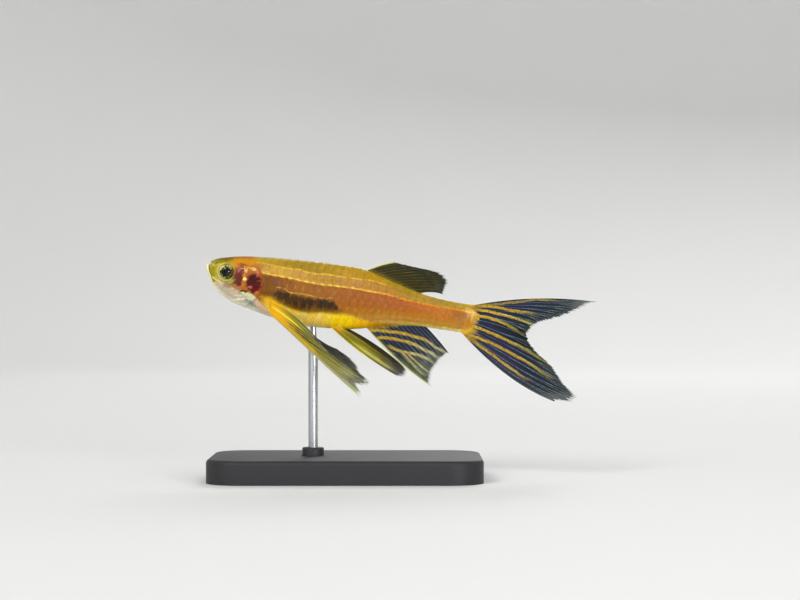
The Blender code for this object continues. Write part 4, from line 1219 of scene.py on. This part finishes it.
def add_fins():
    """Each fin's membrane, with its own colours: sheet and rays from root to tip, then bands and patches."""
    tail_look = fin_material(
        "tail_membrane", ((196, 154, 24), INK, (20, 29, 33)),
        ((236, 204, 92), (112, 140, 172), (108, 120, 120)), (0.02, 0.14), (0.97, 0.03, 0.1),
        TAIL_BANDS, ((212, 174, 14), (150, 152, 66)), patches=(
            ((0.12, 0.96), 0.2, 0.12, 0.4, (112, 118, 116)),
            ((0.5, 0.35), 0.5, 0.16, 0.35, (40, 34, 66)),
        ))
    anal_look = fin_material(
        "anal_membrane", ((158, 126, 30), INK, (20, 34, 30)),
        ((214, 188, 84), (112, 134, 156), (168, 176, 160)), (0.0, 0.1), (0.94, 0.06, 0.12),
        ANAL_BANDS, ((200, 166, 30), (184, 190, 150)), (176, 176, 84), (
            ((0.2, 0.75), 0.2, 0.22, 0.6, (70, 74, 52)),
        ))
    dorsal_look = fin_material(
        "dorsal_membrane", ((104, 88, 12), (36, 32, 2), (22, 22, 8)),
        ((190, 168, 66), (122, 112, 30), (76, 76, 44)), (0.0, 0.25), (0.97, 0.03, 0.1),
        lead=(206, 196, 128))
    pelvic_look = fin_material(
        "pelvic_membrane", ((212, 160, 10), (140, 132, 8), (78, 72, 60)),
        ((240, 204, 60), (200, 192, 60), (140, 136, 120)), (0.02, 0.3), (0.93, 0.06, 0.18),
        lead=CREAM_EDGE, lead_width=0.12, patches=(
            ((0.24, 0.22), 0.1, 0.16, 0.7, (104, 98, 12)),
            ((0.66, 0.28), 0.07, 0.16, 0.7, (92, 76, 10)),
            ((0.4, 0.62), 0.13, 0.26, 0.85, (188, 186, 92)),
            ((0.85, 0.5), 0.12, 0.35, 0.75, (92, 84, 22)),
            ((0.1, 0.75), 0.1, 0.2, 0.5, (110, 106, 72)),
            ((0.5, 0.98), 0.6, 0.12, 0.7, (78, 70, 68)),
        ))
    far_pelvic_look = fin_material(
        "far_pelvic_membrane", ((206, 154, 12), (136, 126, 14), (78, 72, 60)),
        ((236, 200, 64), (190, 182, 66), (130, 126, 112)), (0.02, 0.3), (0.93, 0.06, 0.18),
        lead=CREAM_EDGE, lead_width=0.12, patches=(
            ((0.3, 0.3), 0.12, 0.2, 0.7, (104, 98, 12)),
            ((1.0, 0.55), 0.5, 0.75, 0.92, (62, 52, 26)),
            ((0.5, 0.98), 0.6, 0.12, 0.7, (84, 78, 74)),
        ))
    pectoral_look = fin_material(
        "pectoral_membrane", ((216, 160, 0), (132, 124, 14), (72, 74, 50)),
        ((250, 210, 40), (198, 190, 80), (198, 200, 182)), (0.16, 0.46), (0.93, 0.06, 0.16),
        lead=(178, 178, 132), lead_width=0.26, patches=(
            ((0.32, 0.36), 0.12, 0.16, 0.8, (206, 164, 10)),
            ((0.84, 0.24), 0.04, 0.22, 0.75, (244, 220, 48)),
            ((0.5, 0.75), 0.3, 0.12, 0.5, (146, 142, 66)),
            ((0.62, 0.45), 0.034, 0.15, 1.0, (34, 22, 6)),
            ((0.71, 0.38), 0.026, 0.13, 1.0, (44, 28, 8)),
            ((0.8, 0.5), 0.03, 0.2, 0.85, (70, 62, 16)),
            ((0.45, 0.62), 0.02, 0.12, 0.7, (70, 62, 20)),
            ((0.52, 0.985), 0.06, 0.05, 0.8, (228, 228, 222)),
            ((0.06, 0.97), 0.08, 0.06, 0.7, (222, 222, 214)),
        ))
    far_look = fin_material(
        "far_pectoral_membrane", ((216, 160, 4), (136, 128, 30), (96, 98, 76)),
        ((246, 208, 52), (196, 190, 84), (150, 152, 136)), (0.14, 0.44), (0.93, 0.06, 0.16),
        lead=(202, 196, 132), lead_width=0.12, patches=(
            ((0.3, 0.36), 0.14, 0.16, 0.8, (206, 164, 10)),
            ((0.55, 0.45), 0.03, 0.14, 0.9, (50, 34, 14)),
            ((0.86, 0.8), 0.42, 0.4, 0.96, (38, 40, 36)),
        ))
    fins = (
        ("dorsal_fin", DORSAL_KEYS, 12, median_sway(0.5), dorsal_look, 0.05),
        ("anal_fin", ANAL_KEYS, 15, median_sway(-0.7), anal_look, 0.08),
        ("tail_fin_upper", TAIL_UPPER_KEYS, 10, median_sway(-1.2, 0.3), tail_look, 0.1),
        ("tail_fin_lower", TAIL_LOWER_KEYS, 11, median_sway(1.3, 0.4), tail_look, 0.12),
        ("pelvic_fin_left", PELVIC_KEYS, 11, paired_splay(-1, 0.5, 2.6, 0.5), pelvic_look, 0.06),
        ("pelvic_fin_right", FAR_PELVIC_KEYS, 10, paired_splay(1, 0.5, 3.2, 0.5), far_pelvic_look, 0.06),
        ("pectoral_fin_left", PECTORAL_KEYS, 13, paired_splay(-1, 0.8, 6.0, 0.9), pectoral_look, 0.1),
        ("pectoral_fin_right", FAR_PECTORAL_KEYS, 12, paired_splay(1, 0.8, 6.4, 0.9), far_look, 0.1),
    )
    for seed, (node, keys, rays, lateral, look, ripple) in enumerate(fins):
        fin = add_fin(node + "_membrane", keys, rays, lateral, seed + 3, ripple)
        finish_piece(fin, look, "fin", node)


def lathe(name, profile, centre, side):
    """A turned piece about the fish's y axis at centre (u, v): profile points are (radius, how far out)."""
    made = turned(name, profile, 64, lambda r, a, out: to_frame(
        centre[0] + r * np.cos(a), side * out, centre[1] + r * np.sin(a)))
    close_up(made.data)
    return made


def add_eyes():
    """A dark globe with a flecked iris and a lens standing out of the pupil, under a clear cornea."""
    iris_look, cornea_look = eye_material(), cornea_material()
    centre = float(curve_through(HALF_WIDTH, EYE_CENTRE[0])) + EYE_BULGE - EYE_DEPTH
    rim_out, iris_out = centre + 0.42, centre + 0.66
    pupil, lens_rise = 0.67, 0.22
    iris = [(0.0, iris_out + lens_rise * 0.45)]
    iris += [(pupil * math.sin(a), iris_out + lens_rise * (math.cos(a) - 0.55)) for a in np.linspace(0.12,
                                                                                                     1.3,
                                                                                                     10)]
    iris += [(pupil + 0.02, centre + 0.62), (pupil + 0.06, centre + 0.68), (0.83, centre + 0.67),
             (1.0, centre + 0.6), (1.1, rim_out)]
    globe = [(1.12 * math.cos(a), rim_out - 0.6 * math.sin(a)) for a in np.linspace(0.1, math.pi / 2, 10)]
    width, depth = EYE_RADIUS - 0.05, EYE_DEPTH - 0.03
    dome = [(width * math.sin(a), centre + depth * math.cos(a)) for a in np.linspace(0.0, 1.18, 20)]
    inner = [(r * 0.965, out - 0.05) for r, out in dome[::-1]]
    for name, side in (("left", -1), ("right", 1)):
        globe_piece = lathe(f"eye_globe_{name}", iris + globe, EYE_CENTRE, side)
        cornea = lathe(f"cornea_{name}", dome + inner, EYE_CENTRE, side)
        finish_piece(globe_piece, iris_look, "eye", f"eye_{name}")
        finish_piece(cornea, cornea_look, "eye")


def add_barbels(look):
    """Two fine feelers on each side of the mouth."""
    verts, faces = [], []
    rings, spokes = 14, 10
    for side in (-1, 1):
        for root, tip in BARBELS:
            start = len(verts)
            for k in range(rings):
                t = k / (rings - 1)
                u, v, y = np.array(root) + (np.array(tip) - np.array(root)) * t
                v += 0.22 * t * (1 - t)
                radius = 0.085 * (1 - t) + 0.02
                for a in np.linspace(0, 2 * math.pi, spokes, endpoint=False):
                    verts.append(to_frame(u, side * (y + radius * math.cos(a)), v + radius * math.sin(a)))
            for k in range(rings - 1):
                for j in range(spokes):
                    n = (j + 1) % spokes
                    a, b = start + k * spokes, start + (k + 1) * spokes
                    faces.append((a + j, a + n, b + n, b + j))
            faces.append(tuple(start + j for j in range(spokes)))
            faces.append(tuple(start + (rings - 1) * spokes + j for j in range(spokes)))
    barbels = mesh_object("barbels", verts, faces)
    close_up(barbels.data)
    return finish_piece(barbels, look, "skin")


def barbel_material():
    look = Look("barbel_skin")
    place = look.fish_place()[0]
    grain = look.noise(place, 8.0, 2.0)
    look.set(Base_Color=look.mix(grain, (196, 176, 96), (222, 204, 140)), Roughness=0.35)
    return look.material


# Stand and stage


def add_stand():
    bm = bmesh.new()
    bmesh.ops.create_cube(bm, size=MM)
    bmesh.ops.scale(bm, verts=bm.verts, vec=(BASE_LENGTH, BASE_WIDTH, BASE_THICKNESS))
    bmesh.ops.translate(bm, verts=bm.verts, vec=(BASE_SHIFT * MM, 0.0, BASE_THICKNESS / 2 * MM))
    uprights = [e for e in bm.edges if abs(e.verts[0].co.z - e.verts[1].co.z) > MM]
    bmesh.ops.bevel(bm, geom=uprights, offset=BASE_CORNER * MM, segments=20, affect="EDGES", profile=0.5)
    top = [e for e in bm.edges if min(v.co.z for v in e.verts) > (BASE_THICKNESS - 0.01) * MM]
    bmesh.ops.bevel(bm, geom=top, offset=BASE_EDGE * MM, segments=5, affect="EDGES", profile=0.5)
    mesh = bpy.data.meshes.new("display_base")
    bm.to_mesh(mesh)
    bm.free()
    mesh.shade_smooth()
    mesh.set_sharp_from_angle(angle=math.radians(30))
    base_look = lacquer()
    finish_piece(linked("display_base", mesh), base_look, "stand", "stand_base")

    x, _, belly = to_frame(ROD_U, 0.0, curve_through(BELLY_LINE, ROD_U)) / MM
    boss_top = BASE_THICKNESS + BOSS_HEIGHT
    boss = [(0.0, BASE_THICKNESS - 0.5), (BOSS_RADIUS, BASE_THICKNESS - 0.5), (BOSS_RADIUS, boss_top - 0.2),
            (BOSS_RADIUS - 0.06, boss_top - 0.06), (BOSS_RADIUS - 0.2, boss_top), (0.0, boss_top)]
    rod = [(0.0, boss_top - 0.5), (ROD_RADIUS, boss_top - 0.5), (ROD_RADIUS, belly - 2.2),
           (ROD_RADIUS - 0.06, belly - 2.0), (0.52, belly - 1.2), (0.46, belly - 0.6), (0.44, belly + 0.35),
           (0.0, belly + 0.4)]
    pieces = (("rod_socket", boss, base_look, "stand", ()),
              ("support_rod", rod, brushed_steel(), "rod", ("stand_rod",)))
    for name, profile, look, slot, nodes in pieces:
        made = turned(name, profile, 48, lambda r, a,
                      z: np.stack([x + r * np.cos(a), r * np.sin(a), z], axis=-1) * MM)
        close_up(made.data)
        made.data.set_sharp_from_angle(angle=math.radians(50))
        finish_piece(made, look, slot, *nodes)


def add_stage():
    """A wide pale floor that rises into its own backdrop all round, three soft lights and a dim surround."""
    flat, turn, wall = 0.55, 0.35, 0.5
    profile = [(0.0, 0.0), (flat, 0.0)]
    bends = np.linspace(0.1, math.pi / 2, 14)
    profile += [(flat + turn * math.sin(a), turn * (1 - math.cos(a))) for a in bends]
    profile += [(flat + turn, turn + wall)]
    floor = turned("floor", profile, 96, lambda r, a, z: np.stack([r * np.cos(a), r * np.sin(a), z], axis=-1))
    floor.data.materials.append(floor_material())
    aim = Vector((0.0, 0.0, 0.02))
    lights = (
        ("key", (-0.36, -0.62, 0.52), 0.42, 5.0, (1.0, 0.97, 0.93)),
        ("fill", (0.36, -0.58, 0.15), 0.28, 2.3, (0.97, 0.98, 1.0)),
        ("rim", (0.16, 0.56, 0.44), 0.4, 1.9, (1.0, 1.0, 1.0)),
    )
    for name, place, size, power, colour in lights:
        lamp = bpy.data.lights.new(name, "AREA")
        lamp.shape = "DISK"
        lamp.size = size
        lamp.energy = power
        lamp.color = colour
        made = linked(name, lamp)
        made.location = place
        made.rotation_euler = (aim - Vector(place)).to_track_quat("-Z", "Y").to_euler()
    world = bpy.data.worlds.new("surround")
    world.use_nodes = True
    surround = world.node_tree.nodes["Background"].inputs
    surround["Color"].default_value = (0.9, 0.94, 1.0, 1.0)
    surround["Strength"].default_value = 0.45
    bpy.context.scene.world = world
    bpy.context.scene.view_settings.view_transform = "Standard"


def add_camera():
    lens = bpy.data.cameras.new("photo_view")
    lens.lens = LENS
    lens.sensor_width = SENSOR
    lens.clip_start = 0.01
    camera = linked("photo_view", lens)
    camera.location = (CAMERA_X * MM, -CAMERA_DISTANCE * MM, CAMERA_Z * MM)
    camera.rotation_euler = (math.pi / 2, 0.0, 0.0)
    bpy.context.scene.camera = camera


add_camera()
skin = add_skin()
finish_piece(skin, flesh_material("danio_skin", False), "skin", "head", "trunk", "tail", "tail_stalk",
             "gill_cover_left", "gill_cover_right")
scale_look = flesh_material("danio_scales", True)
for number, side in enumerate((-1, 1)):
    finish_piece(add_scales(side, 11 + number), scale_look, "skin")
add_eyes()
add_barbels(barbel_material())
add_fins()
add_stand()
add_stage()
